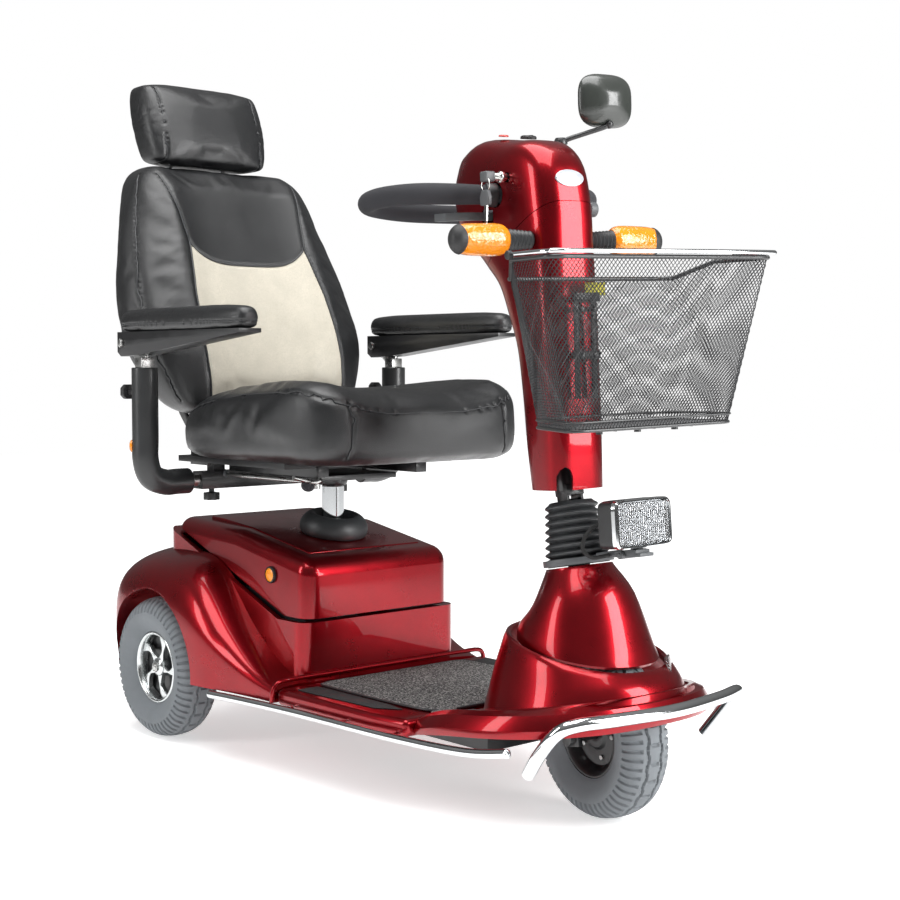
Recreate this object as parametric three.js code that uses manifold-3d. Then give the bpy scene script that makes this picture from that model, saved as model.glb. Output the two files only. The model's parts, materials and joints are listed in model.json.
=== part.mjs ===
// Three-wheel mobility scooter, modelled as separate pieces that come apart on a bench.
// Millimetres. +X points forward, +Y to the rider's left, +Z up. While it is laid out, x is counted from
// the rear axle; the whole scooter is then moved back by FRAME_SHIFT so the origin is under its middle.

import * as THREE from 'three';
import { mergeVertices } from 'three/addons/utils/BufferGeometryUtils.js';
import Module from 'manifold-3d';

const wasm = await Module();
wasm.setup();

// ---------------------------------------------------------------- driving dimensions
const FRAME_SHIFT = -407.84;
const GAP = 0.4;

const WHEEL_R = 130;
const TYRE_W = 84;
const AXLE_R = 9;
const RIM_R = 66;
const TRACK_HALF = 218;
const WHEELBASE = 900;

const RAKE = THREE.MathUtils.degToRad(10.8);
const STEER_REST = THREE.MathUtils.degToRad(-9.6);
const AXLE_POINT = new THREE.Vector3(WHEELBASE, 0, WHEEL_R);
const STEER_AXIS = new THREE.Vector3(-Math.sin(RAKE), 0, Math.cos(RAKE));
const TILLER_PIVOT_S = 346;

const WALL = 4;
const DECK_Z = 146;
const DECK_HALF = 230;
const COVER_FRONT_X = 366;

const SEAT_X = 225;
const ARM_Y = 289;
const BACK_PIVOT = [22, 545];

// ---------------------------------------------------------------- finishes
function finish(color, roughness, metalness) {
  return new THREE.MeshStandardMaterial({ color, roughness, metalness });
}
const RED = finish(0x8a0a1c, 0.22, 0.35);
const BLACK = finish(0x141416, 0.55, 0.1);
const STEEL_BLACK = finish(0x101011, 0.4, 0.6);
const CHROME = finish(0xd5d8da, 0.12, 1.0);
const SILVER = finish(0xb4b6b8, 0.3, 0.9);
const GREY_TYRE = finish(0x7e8488, 0.85, 0.0);
const GREY_MAT = finish(0x3c3d3e, 0.95, 0.0);
const VINYL = finish(0x26282b, 0.5, 0.0);
const BEIGE = finish(0xc8bda6, 0.9, 0.0);
const RUBBER = finish(0x2e3133, 0.8, 0.0);
const AMBER = finish(0xf09a20, 0.25, 0.0);
const CLEAR = finish(0xe8ecee, 0.1, 0.0);
const TAIL_RED = finish(0xa01512, 0.25, 0.0);
const GREY_PLASTIC = finish(0x55585b, 0.6, 0.0);

// ---------------------------------------------------------------- making solids
const scooter = new THREE.Group();
scooter.position.x = FRAME_SHIFT;

function add(name, geometry, material, parent = scooter) {
  const mesh = new THREE.Mesh(geometry, material);
  mesh.name = name;
  parent.add(mesh);
  return mesh;
}

function box(x0, x1, y0, y1, z0, z1) {
  const geometry = new THREE.BoxGeometry(x1 - x0, y1 - y0, z1 - z0);
  return geometry.translate((x0 + x1) / 2, (y0 + y1) / 2, (z0 + z1) / 2);
}

function shapeOf(points) {
  return new THREE.Shape(points.map(([u, v]) => new THREE.Vector2(u, v)));
}

// A flat outline in plan (x, y), from z0 to z1.
function slab(points, z0, z1) {
  const geometry = new THREE.ExtrudeGeometry(shapeOf(points), { depth: z1 - z0, bevelEnabled: false });
  return geometry.translate(0, 0, z0);
}

// A flat outline in side view (x, z), from y0 to y1.
function sidePlate(points, y0, y1) {
  const geometry = new THREE.ExtrudeGeometry(shapeOf(points), { depth: y1 - y0, bevelEnabled: false });
  return geometry.rotateX(Math.PI / 2).translate(0, y1, 0);
}

// A round bar or tube-shaped solid along a smooth curve.
function bar(points, radius, steps = 24, sides = 8, tension = 0.5) {
  const vectors = points.map((p) => new THREE.Vector3(...p));
  const path = new THREE.CatmullRomCurve3(vectors, false, 'catmullrom', tension);
  const section = new THREE.Shape();
  section.absarc(0, 0, radius, 0, 2 * Math.PI);
  const options = { steps, extrudePath: path, curveSegments: sides / 2, bevelEnabled: false };
  return new THREE.ExtrudeGeometry(section, options);
}

// A solid of revolution: profile is [radius, distance along the axis]; the axis is Y.
function turned(profile, segments = 32) {
  return new THREE.LatheGeometry(profile.map(([r, h]) => new THREE.Vector2(r, h)), segments);
}

function turnedZ(profile, segments = 32) {
  return turned(profile, segments).rotateX(Math.PI / 2);
}

function rod(radius, h0, h1, segments = 20) {
  return turned([[0, h0], [radius, h0], [radius, h1], [0, h1]], segments);
}

function rodZ(radius, h0, h1, segments = 20) {
  return turnedZ([[0, h0], [radius, h0], [radius, h1], [0, h1]], segments);
}

function solid(geometry) {
  const bare = geometry.clone();
  bare.deleteAttribute('normal');
  bare.deleteAttribute('uv');
  const merged = mergeVertices(bare, 1e-4);
  const vertProperties = new Float32Array(merged.attributes.position.array);
  const triVerts = new Uint32Array(merged.index.array);
  return new wasm.Manifold(new wasm.Mesh({ numProp: 3, vertProperties, triVerts }));
}

function geometryOf(manifold) {
  const { vertProperties, triVerts, numProp } = manifold.getMesh();
  const geometry = new THREE.BufferGeometry();
  const count = vertProperties.length / numProp;
  const positions = new Float32Array(count * 3);
  for (let i = 0; i < count; i += 1) {
    for (let k = 0; k < 3; k += 1) positions[3 * i + k] = vertProperties[numProp * i + k];
  }
  geometry.setAttribute('position', new THREE.BufferAttribute(positions, 3));
  geometry.setIndex([...triVerts]);
  geometry.computeVertexNormals();
  return geometry;
}

function cut(from, ...tools) {
  return geometryOf(tools.reduce((left, tool) => left.subtract(solid(tool)), solid(from)));
}

function join(...pieces) {
  return geometryOf(pieces.slice(1).reduce((sum, piece) => sum.add(solid(piece)), solid(pieces[0])));
}

// A closed solid through a stack of rings, each a list of [x, y, z] with the same count.
function loft(rings) {
  const n = rings[0].length;
  const positions = rings.flat(2);
  const faces = [];
  for (let r = 0; r + 1 < rings.length; r += 1) {
    for (let i = 0; i < n; i += 1) {
      const a = r * n + i;
      const b = r * n + ((i + 1) % n);
      faces.push(a, b, b + n, a, b + n, a + n);
    }
  }
  const ends = [[0, true], [rings.length - 1, false]];
  for (const [r, flip] of ends) {
    const middle = [0, 1, 2].map((k) => rings[r].reduce((sum, p) => sum + p[k], 0) / n);
    const centre = positions.length / 3;
    positions.push(...middle);
    for (let i = 0; i < n; i += 1) {
      const a = r * n + i;
      const b = r * n + ((i + 1) % n);
      faces.push(...(flip ? [centre, b, a] : [centre, a, b]));
    }
  }
  const geometry = new THREE.BufferGeometry();
  geometry.setAttribute('position', new THREE.BufferAttribute(new Float32Array(positions), 3));
  geometry.setIndex(volumeOf(positions, faces) < 0 ? faces.reverse() : faces);
  geometry.computeVertexNormals();
  return geometry;
}

function volumeOf(positions, faces) {
  const at = (i) => new THREE.Vector3(positions[3 * i], positions[3 * i + 1], positions[3 * i + 2]);
  let volume = 0;
  for (let i = 0; i < faces.length; i += 3) {
    const [a, b, c] = [at(faces[i]), at(faces[i + 1]), at(faces[i + 2])];
    volume += a.dot(b.cross(c)) / 6;
  }
  return volume;
}

// A rounded outline: half sizes a and b, roundness power (2 = ellipse, larger = squarer).
function oval(a, b, power, n = 32) {
  const points = [];
  for (let i = 0; i < n; i += 1) {
    const t = (2 * Math.PI * (i + 0.5)) / n;
    const c = Math.cos(t);
    const s = Math.sin(t);
    points.push([
      a * Math.sign(c) * Math.abs(c) ** (2 / power),
      b * Math.sign(s) * Math.abs(s) ** (2 / power),
    ]);
  }
  return points;
}

// A level or sloping ring in plan: z runs from zRear at the back to zFront at the front.
function planRing({ x, a, b, power = 2.2, zRear, zFront = zRear, n = 32 }) {
  return oval(a, b, power, n).map(([u, v]) => [x + u, v, zRear + ((zFront - zRear) * (u + a)) / (2 * a)]);
}

// Both sides of the scooter: side is -1 for the rider's right and +1 for the left.
const SIDES = [['right', -1], ['left', 1]];

// ---------------------------------------------------------------- wheels
function tyreProfile() {
  const half = TYRE_W / 2;
  const inner = RIM_R + 1;
  return [
    [inner, -26], [inner + 9, -33], [98, -half], [114, -half + 3], [126, -25], [WHEEL_R, 0],
    [126, 25], [114, half - 3], [98, half], [inner + 9, 33], [inner, 26], [inner, -26],
  ];
}

function rimProfile(boreR) {
  return [
    [boreR, -14], [22, -14], [26, -8], [RIM_R - 12, -8], [RIM_R - 5, -25], [RIM_R, -25], [RIM_R, 25],
    [RIM_R - 5, 25], [RIM_R - 12, 8], [26, 8], [22, 14], [boreR, 14], [boreR, -14],
  ];
}

const wheelTyre = () => turned(tyreProfile(), 24);
const wheelRim = () => turned(rimProfile(AXLE_R + GAP), 16);

// Each rear rim is fixed to the half shaft that drives it, with a nut on the outside.
const AXLE_INNER = 105;
const halfShaft = turned([
  [0, AXLE_INNER - TRACK_HALF], [AXLE_R, AXLE_INNER - TRACK_HALF], [AXLE_R, -21], [12, -21], [12, 16], [16, 16],
  [14, 28], [0, 28],
], 14);
for (const [name, side] of SIDES) {
  const hub = join(wheelRim(), halfShaft);
  if (side < 0) hub.rotateX(Math.PI);
  add(`tyre_rear_${name}`, wheelTyre(), GREY_TYRE).position.set(0, side * TRACK_HALF, WHEEL_R);
  add(`rim_rear_${name}`, hub, SILVER).position.set(0, side * TRACK_HALF, WHEEL_R);
}

// ---------------------------------------------------------------- drive, batteries and frame
const gearCase = turned([
  [0, -100], [9.5, -100], [9.5, -150], [24, -150], [24, -66], [50, -40], [50, 40], [24, 66], [24, 150],
  [9.5, 150], [9.5, 100], [0, 100],
], 24).translate(0, 0, WHEEL_R);
const MOTOR = { x: -95, z: 152, r: 38 };
add('transaxle', join(
  gearCase,
  rod(MOTOR.r, -70, 70, 20).translate(MOTOR.x, 0, MOTOR.z),
  box(-90, -46, -20, 20, 132, 160),
), STEEL_BLACK);

const BATTERY = { x0: 152, x1: 342, y0: 32, y1: 150, z0: 130, z1: 290 };
for (const [name, side] of SIDES) {
  const [y0, y1] = [side * BATTERY.y0, side * BATTERY.y1].sort((p, q) => p - q);
  const posts = [52, 130].map((y) => box(166, 184, side * y - 8, side * y + 8, BATTERY.z1 - 2, BATTERY.z1 + 10));
  add(`battery_${name}`, join(box(BATTERY.x0, BATTERY.x1, y0, y1, BATTERY.z0, BATTERY.z1), ...posts), BLACK);
}
add('controller_box', box(-45, 105, -70, 70, 262, 312), SILVER);

const RAIL_Y = 95;
const frameRails = SIDES.map(([, side]) => box(34, 762, side * RAIL_Y - 14, side * RAIL_Y + 14, 90, 117));
const axleHangers = SIDES.map(([, side]) => box(24.5, 52, side * RAIL_Y - 14, side * RAIL_Y + 14, 90, 215));
const neck = sidePlate([
  [722, 92], [762, 92], [764, 126], [770, 200], [800, 270], [838, 300], [838, 346], [790, 300], [752, 215], [734, 150],
  [722, 116],
], -20, 20);
const axisFrame = new THREE.Matrix4().makeTranslation(AXLE_POINT.x, AXLE_POINT.y, AXLE_POINT.z)
  .multiply(new THREE.Matrix4().makeRotationY(-RAKE));
const headTube = rodZ(27, 166, 226, 24).applyMatrix4(axisFrame);
const headBore = rodZ(17.5, 150, 240, 24).applyMatrix4(axisFrame);
const postSocket = rodZ(29, 90, 330, 24).translate(SEAT_X, 0, 0);
const postBore = rodZ(24.4, 120, 340, 24).translate(SEAT_X, 0, 0);
add('chassis_frame', cut(join(
  frameRails[0], frameRails[1], axleHangers[0], axleHangers[1],
  box(60, 88, -RAIL_Y, RAIL_Y, 90, 117),
  box(400, 428, -RAIL_Y, RAIL_Y, 90, 117),
  box(720, 762, -RAIL_Y, RAIL_Y, 90, 117),
  box(205, 245, -RAIL_Y, RAIL_Y, 90, 117),
  neck, headTube, postSocket,
), headBore, postBore), STEEL_BLACK);

// ---------------------------------------------------------------- rear bodywork
// One station across the body: a flat-bottomed arch of half width w from zBottom up to zTop.
function archRing({ x, w, zTop, zBottom, power = 4, n = 17 }) {
  const zSpring = zBottom + (zTop - zBottom) * 0.3;
  const ring = [[x, w, zBottom]];
  for (let i = 0; i < n; i += 1) {
    const t = (Math.PI * i) / (n - 1);
    const c = Math.cos(t);
    const y = w * Math.sign(c) * Math.abs(c) ** (2 / power);
    ring.push([x, y, zSpring + (zTop - zSpring) * Math.sin(t) ** (2 / power)]);
  }
  ring.push([x, -w, zBottom]);
  return ring;
}

// Stations of the fenders and rear skirt: [x, half width, top].
const FENDER_STATIONS = [
  [-150, 222, 290], [-143, 243, 318], [-110, 256, 338], [-50, 262, 350], [30, 262, 353], [90, 262, 344],
  [140, 261, 318], [180, 257, 282], [220, 250, 240], [270, 243, 200], [320, 238, 170], [370, 235, 151],
];
const SHELL_BOTTOM = 122;

function fenderLoft(inset, zBottom) {
  const last = FENDER_STATIONS.length - 1;
  return loft(FENDER_STATIONS.map(([x, w, zTop], i) => {
    const shift = i === 0 ? inset : i === last ? -inset : 0;
    return archRing({ x: x + shift, w: w - inset, zTop: zTop - inset, zBottom });
  }));
}

function wellPair(radius, yInner) {
  return SIDES.map(([, side]) => {
    const [y0, y1] = [side * yInner, side * 300].sort((p, q) => p - q);
    return rod(radius, y0, y1, 32).translate(0, 0, WHEEL_R);
  });
}

// The lower tier is the box in front of the seat, with a long slope down from the tail on each side.
const TIER_HALF = 176;
const lowerTier = [[-60, 300], [COVER_FRONT_X + 6, 130], [COVER_FRONT_X + 6, 249], [296, 249], [-60, 384]];
const lowerTierInner = [[-56, 290], [-56, 377], [295, 245], [COVER_FRONT_X + 2, 245], [COVER_FRONT_X + 2, 110],
  [-56, 110]];
const hollow = cut(
  join(fenderLoft(WALL, SHELL_BOTTOM - 20), sidePlate(lowerTierInner, -TIER_HALF + WALL, TIER_HALF - WALL)),
  ...wellPair(151, 166),
);
const axleSlots = SIDES.map(([, side]) => {
  const [y0, y1] = [side * 160, side * 180].sort((p, q) => p - q);
  return box(-17, 17, y0, y1, 100, 149);
});
const batteryHatch = box(-30, 350, -166, 166, 200, 420);
add('rear_body_shell', cut(
  join(fenderLoft(0, SHELL_BOTTOM), sidePlate(lowerTier, -TIER_HALF, TIER_HALF)),
  hollow, ...wellPair(147, 170), ...axleSlots, batteryHatch,
), RED);

// Battery cover: the upper tier, its lower edge running up along the slope to the tail.
const COVER_HALF = 164;
const coverOuter = [[COVER_FRONT_X, 254], [COVER_FRONT_X, 354], [150, 392], [30, 404], [-44, 406], [-52, 398],
  [-52, 388], [300, 254]];
const coverInner = [[COVER_FRONT_X - WALL, 200], [COVER_FRONT_X - WALL, 350], [150, 387], [30, 399], [-42, 401],
  [-47, 396], [-47, 200]];
add('battery_cover', cut(
  sidePlate(coverOuter, -COVER_HALF, COVER_HALF),
  sidePlate(coverInner, -COVER_HALF + WALL, COVER_HALF - WALL),
  rodZ(31, 330, 430, 24).translate(SEAT_X, 0, 0),
), RED);

// Rubber boot round the seat post, resting on the sloping cover.
const COVER_SLOPE = Math.atan2(392 - 354, COVER_FRONT_X - 150);
const boot = turnedZ([
  [34, 2], [62, 0.5], [84, 0.5], [88, 12], [84, 28], [70, 40], [52, 43], [38, 38], [34, 24], [34, 2],
], 20);
add('seat_post_boot', boot.rotateY(COVER_SLOPE).translate(SEAT_X, 0, 379.3), RUBBER);

for (const [name, side] of SIDES) {
  const disc = rod(14, COVER_HALF + GAP, COVER_HALF + 6, 16).translate(262, 0, 322);
  if (side < 0) disc.rotateX(Math.PI).translate(0, 0, 2 * 322);
  add(`side_reflector_${name}`, disc, AMBER);
}

// ---------------------------------------------------------------- deck and front bodywork
const VISOR = { x: 796, a: 237, b: 216, power: 2.5 };
const SKIRT = { x: 864, a: 155, b: 152 };
const PAN_SPLIT_X = 700;

function deckOutline(inset) {
  const half = DECK_HALF - inset;
  const back = COVER_FRONT_X + 8 + inset;
  const front = PAN_SPLIT_X - GAP - inset;
  return [[back, -half - 4], [620, -half], [front, -half + 8], [front, half - 8], [620, half], [back, half + 4]];
}
add('floor_pan', cut(
  slab(deckOutline(0), 118, DECK_Z),
  slab(deckOutline(WALL), 100, DECK_Z - WALL),
), RED);

const MAT = { x0: 398, x1: 698, half: 166, z0: DECK_Z + GAP, z1: DECK_Z + 5 };
const matPlan = [[MAT.x0, -MAT.half + 22], [MAT.x0 + 22, -MAT.half], [MAT.x1 - 30, -MAT.half], [MAT.x1, -MAT.half + 30],
  [MAT.x1, MAT.half - 30], [MAT.x1 - 30, MAT.half], [MAT.x0 + 22, MAT.half], [MAT.x0, MAT.half - 22]];
add('floor_mat', slab(matPlan, MAT.z0, MAT.z1), GREY_MAT);

const visorOuter = loft([
  planRing({ ...VISOR, a: VISOR.a - 3, b: VISOR.b - 4, zRear: 112, zFront: 164, n: 28 }),
  planRing({ ...VISOR, zRear: 126, zFront: 176, n: 28 }),
  planRing({ ...VISOR, a: VISOR.a - 8, b: VISOR.b - 8, zRear: 142, zFront: 198, n: 28 }),
  planRing({ ...SKIRT, a: SKIRT.a + 5, b: SKIRT.b + 14, zRear: 152, zFront: 212, n: 28 }),
]);
const visorInner = loft([
  planRing({ ...VISOR, a: VISOR.a - 7, b: VISOR.b - 8, zRear: 90, zFront: 140, n: 28 }),
  planRing({ ...VISOR, a: VISOR.a - 4, b: VISOR.b - 4, zRear: 124, zFront: 174, n: 28 }),
  planRing({ ...VISOR, a: VISOR.a - 12, b: VISOR.b - 12, zRear: 137, zFront: 193, n: 28 }),
  planRing({ ...SKIRT, a: SKIRT.a + 5, b: SKIRT.b + 14, zRear: 147, zFront: 207, n: 28 }),
]);
const skirtHole = loft([
  planRing({ ...SKIRT, a: SKIRT.a + 1, b: SKIRT.b + 1, zRear: 80, zFront: 100, n: 28 }),
  planRing({ ...SKIRT, a: SKIRT.a + 1, b: SKIRT.b + 1, zRear: 260, zFront: 320, n: 28 }),
]);
add('front_visor', cut(visorOuter, visorInner, skirtHole, box(400, PAN_SPLIT_X, -300, 300, 50, 300)), RED);

// Front shroud: a lower skirt and an upper cone that drops inside it.
const skirtOuter = loft([
  planRing({ ...SKIRT, zRear: 151, zFront: 200, n: 28 }),
  planRing({ x: 868, a: 146, b: 134, zRear: 215, zFront: 216, n: 28 }),
  planRing({ x: 869, a: 127, b: 115, zRear: 284, zFront: 236, n: 28 }),
]);
const skirtInner = loft([
  planRing({ x: SKIRT.x, a: SKIRT.a - WALL, b: SKIRT.b - WALL, zRear: 130, zFront: 170, n: 28 }),
  planRing({ x: 868, a: 142, b: 130, zRear: 212, zFront: 213, n: 28 }),
  planRing({ x: 870, a: 120, b: 108, zRear: 310, zFront: 262, n: 28 }),
]);
add('front_shroud_lower', cut(skirtOuter, skirtInner), RED);

const COLLAR_S = 255;
const coneTop = (radius, s) => oval(radius, radius, 2, 28).map(([u, v]) => {
  const p = new THREE.Vector3(u, v, s).applyMatrix4(axisFrame);
  return [p.x, p.y, p.z];
});
const coneOuter = loft([
  planRing({ x: 870, a: 112, b: 99, zRear: 272, zFront: 244, n: 28 }),
  planRing({ x: 866, a: 104, b: 95, zRear: 292, zFront: 266, n: 28 }),
  coneTop(54, COLLAR_S),
]);
const coneInner = loft([
  planRing({ x: 870, a: 109, b: 96, zRear: 250, zFront: 222, n: 28 }),
  planRing({ x: 866, a: 100, b: 91, zRear: 290, zFront: 264, n: 28 }),
  coneTop(50, COLLAR_S - WALL),
]);
const collarHole = rodZ(32, COLLAR_S - 20, COLLAR_S + 10, 28).applyMatrix4(axisFrame);
add('front_shroud_upper', cut(coneOuter, coneInner, collarHole), RED);

// Chrome side rails on short stand-offs, and the front bumper bar.
for (const [name, side] of SIDES) {
  const y = side * 246;
  const rail = bar([
    [206, side * 258, 114], [300, side * 251, 116], [450, y, 119], [700, y, 123], [860, y, 131], [945, side * 240, 144],
  ], 7, 12, 8);
  const feet = [[420, 234], [560, 231.6], [680, 224.8]].map(([x, reach]) => {
    const [y0, y1] = [side * reach, side * 244].sort((p, q) => p - q);
    return rod(5, y0, y1, 8).translate(x, 0, 121);
  });
  add(`side_rail_${name}`, join(rail, ...feet), CHROME);
}
const bumperHalf = [[940, 196, 104], [968, 200, 140], [998, 197, 174], [1018, 178, 187], [1039, 110, 189]];
const bumperPath = [
  ...bumperHalf.map(([x, y, z]) => [x, -y, z]), [1052, 0, 189], ...[...bumperHalf].reverse(),
];
add('front_bumper', bar(bumperPath, 10, 30, 8), CHROME);

// ---------------------------------------------------------------- headlamp
const LAMP = { x: 966, z: 456, half: 66, height: 72, depth: 37, yaw: 0.07, pitch: -0.08 };
const lampGroup = new THREE.Group();
lampGroup.position.set(LAMP.x, 0, LAMP.z);
lampGroup.rotation.set(0, LAMP.pitch, LAMP.yaw, 'ZYX');
scooter.add(lampGroup);
const lampH = LAMP.height / 2;
const lampD = LAMP.depth / 2;
add('headlamp_body', cut(
  box(-lampD, lampD, -LAMP.half, LAMP.half, -lampH, lampH),
  box(-lampD + 5, lampD + 5, -LAMP.half + 6, LAMP.half - 6, -lampH + 6, lampH - 6),
), BLACK, lampGroup);
add('headlamp_lens', box(lampD - 5, lampD + 2, -LAMP.half + 6 + GAP, LAMP.half - 6 - GAP,
  -lampH + 6 + GAP, lampH - 6 - GAP), CLEAR, lampGroup);

const band = turnedZ([[49.2, 258], [55, 258], [55, 268], [49.2, 268], [49.2, 258]], 24).applyMatrix4(axisFrame);
add('headlamp_bracket', join(
  band,
  sidePlate([[902, 397], [930, 402], [990, 408], [990, 413], [930, 412], [902, 406]], -15, 15),
  box(952, 982, -15, 15, 409, 417.5),
), GREY_PLASTIC);
add('headlamp_cable', bar([
  [945.5, -22, 452], [934, -30, 455], [922, -44, 448], [914, -54, 432], [912, -54, 414], [918, -42, 403],
  [926, -28, 404], [930, -17, 406],
], 3, 20, 6), BLACK);

// ---------------------------------------------------------------- steering: front wheel, fork and bellows
// Everything in this group turns with the bars; it is drawn straight ahead and turned by STEER_REST.
const steering = new THREE.Group();
steering.quaternion.setFromAxisAngle(STEER_AXIS, STEER_REST);
steering.position.copy(AXLE_POINT).sub(AXLE_POINT.clone().applyQuaternion(steering.quaternion));
scooter.add(steering);

add('tyre_front', wheelTyre(), GREY_TYRE, steering).position.copy(AXLE_POINT);
add('rim_front', wheelRim(), BLACK, steering).position.copy(AXLE_POINT);

const FORK = { inner: 50, outer: 58, half: 18, crown: [146, 160] };
const STEERER_R = 17;
const LUG_R = 14;
const PIN_R = 5;
const forkLegs = SIDES.map(([, side]) => {
  const [y0, y1] = [side * FORK.inner, side * FORK.outer].sort((p, q) => p - q);
  return box(-FORK.half, FORK.half, y0, y1, -14, FORK.crown[1]);
});
add('steering_fork', cut(join(
  forkLegs[0], forkLegs[1],
  box(-FORK.half, FORK.half, -FORK.outer, FORK.outer, ...FORK.crown),
  rod(AXLE_R, -FORK.outer - 1, FORK.outer + 1, 14),
  rod(13, FORK.outer - 1, FORK.outer + 8, 6),
  rod(13, -FORK.outer - 8, -FORK.outer + 1, 6),
  rodZ(STEERER_R, FORK.crown[1] - 4, 322, 20),
  box(-12, 12, -10, 10, 318, TILLER_PIVOT_S),
  rod(LUG_R, -10, 10, 18).translate(0, 0, TILLER_PIVOT_S),
), rod(PIN_R + 0.3, -20, 20, 14).translate(0, 0, TILLER_PIVOT_S)), STEEL_BLACK, steering).applyMatrix4(axisFrame);

const BELLOWS = { s0: 256.5, cuff: 268.5, s1: 356, folds: 5, r: 48.2 };
const bellowsProfile = [[29, BELLOWS.s0], [BELLOWS.r, BELLOWS.s0], [BELLOWS.r, BELLOWS.cuff]];
for (let i = 0; i < BELLOWS.folds; i += 1) {
  const step = (BELLOWS.s1 - BELLOWS.cuff - 6) / BELLOWS.folds;
  const s = BELLOWS.cuff + 2 + i * step;
  bellowsProfile.push([50 - 1.8 * i, s + 0.3 * step], [44 - 1.6 * i, s + 0.8 * step]);
}
bellowsProfile.push([38, BELLOWS.s1], [29, BELLOWS.s1], [29, BELLOWS.s0]);
add('steering_bellows', turnedZ(bellowsProfile, 20), RUBBER, steering).applyMatrix4(axisFrame);

// ---------------------------------------------------------------- tiller
const COLUMN_TOP_S = 790;
const cheeks = SIDES.map(([, side]) => {
  const [y0, y1] = [side * 10.5, side * 16].sort((p, q) => p - q);
  return box(-13, 13, y0, y1, 334, 376);
});
add('tiller_column', join(
  cheeks[0], cheeks[1],
  box(-16, 16, -16, 16, 365, 382),
  rodZ(18, 372, COLUMN_TOP_S, 20),
  rod(PIN_R, -20, 20, 14).translate(0, 0, TILLER_PIVOT_S),
), STEEL_BLACK, steering).applyMatrix4(axisFrame);

// Sections through the tiller casing, bottom to top: rear point, front point (x, z) and half width.
const TILLER_SECTIONS = [
  [[783, 497], [868, 501], 50], [[772, 560], [868, 580], 51], [[764, 640], [865, 680], 52],
  [[752, 712], [862, 770], 53], [[730, 763], [859, 830], 54], [[705, 811], [856, 885], 55],
  [[672, 842], [853, 940], 57], [[640, 868], [838, 1000], 58], [[612, 892], [800, 1034], 59],
  [[597, 908], [744, 1043], 59], [[591, 940], [672, 1051], 57], [[592, 968], [628, 1038], 50],
];
const CASING_SEAM = 6;
const CASING_WALL = 3;

function casingRing(k, inset, shift = 0) {
  const [[xr, zr], [xf, zf], half] = TILLER_SECTIONS[k];
  const length = Math.hypot(xf - xr, zf - zr);
  const [ux, uz] = [(xf - xr) / length, (zf - zr) / length];
  return oval(length / 2 - inset, half - inset, 3.6, 20).map(([u, v]) => [
    (xr + xf) / 2 + u * ux - shift * uz, v, (zr + zf) / 2 + u * uz + shift * ux,
  ]);
}

function casingLoft(from, to, inset, shiftFrom, shiftTo) {
  const rings = [];
  for (let k = from; k <= to; k += 1) {
    rings.push(casingRing(k, inset, k === from ? shiftFrom : k === to ? shiftTo : 0));
  }
  return loft(rings);
}
add('tiller_shroud', cut(
  casingLoft(0, CASING_SEAM, 0, 0, -GAP),
  casingLoft(0, CASING_SEAM, CASING_WALL, -5, 5),
), RED, steering);

const GRIP = { x: 738, z: 958, r: 15 };
const leverSlot = box(690, 722, -80, 80, 915, 937);
const keyHole = rod(8, -75, -40, 12).translate(762, 0, 982);
const last = TILLER_SECTIONS.length - 1;
add('tiller_head', cut(
  casingLoft(CASING_SEAM, last, 0, GAP, 0),
  casingLoft(CASING_SEAM, last - 1, CASING_WALL, -5, 4),
  rod(GRIP.r + 5, -80, 80, 16).translate(GRIP.x - 8, 0, GRIP.z),
  leverSlot, keyHole,
), RED, steering);

// The hand grip is one loop from side to side behind the casing.
const gripHalf = [
  [GRIP.x, 20, GRIP.z], [730, 50, 958], [705, 110, 960], [668, 165, 962], [620, 198, 960], [575, 200, 955],
  [545, 170, 950], [530, 100, 945],
];
const gripPath = [
  ...gripHalf.map(([x, y, z]) => [x, -y, z]), [528, 0, 944], ...[...gripHalf].reverse(),
];
add('handlebar', join(
  bar(gripPath, GRIP.r, 40, 8),
  rod(12, -24, 24, 12).translate(GRIP.x, 0, GRIP.z),
), BLACK, steering);

const THUMB = { x: 706, y: 44, z0: 920, z1: 932 };
for (const [name, side] of SIDES) {
  const arm = [[-7, 0], [-7, 28], [-16, 44], [-34, 66], [-50, 74], [-46, 84], [-20, 80], [2, 52], [7, 28], [7, 0]];
  const paddle = slab(arm.map(([u, v]) => [THUMB.x + u, side * (THUMB.y + v)]), THUMB.z0, THUMB.z1);
  const hub = rodZ(9, THUMB.z0, THUMB.z1, 14).translate(THUMB.x, side * THUMB.y, 0);
  add(`thumb_lever_${name}`, join(hub, paddle), GREY_PLASTIC, steering);
}

// Controls on the upper face of the casing.
const dash = new THREE.Group();
dash.position.set(706, 0, 1050.6);
dash.rotation.y = 0.11;
steering.add(dash);
add('speed_dial', turnedZ([[0, 0], [13, 0], [13, 8], [10, 11], [0, 11]], 16).translate(0, 24, 0), BLACK, dash);
add('horn_button', turnedZ([[0, 2.4], [8, 2.4], [8, 6], [5, 8], [0, 8]], 16).translate(0, -24, 0), TAIL_RED, dash);

add('ignition_key', join(
  rod(6, -86, -44, 12).translate(762, 0, 982),
  sidePlate([[752, 972], [772, 972], [774, 992], [750, 992]], -106, -84),
), SILVER, steering);

const indicatorProfile = [
  [0, 56], [11, 56], [9, 60], [9, 98], [18, 101], [24, 112], [25, 150], [23, 186], [17, 197], [0, 197],
];
for (const [name, side] of SIDES) {
  const lamp = turned(indicatorProfile, 14).scale(0.8, 1, 1);
  if (side < 0) lamp.rotateX(Math.PI);
  add(`indicator_${name}`, lamp.translate(817, 0, 882), AMBER, steering);
}

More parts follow.
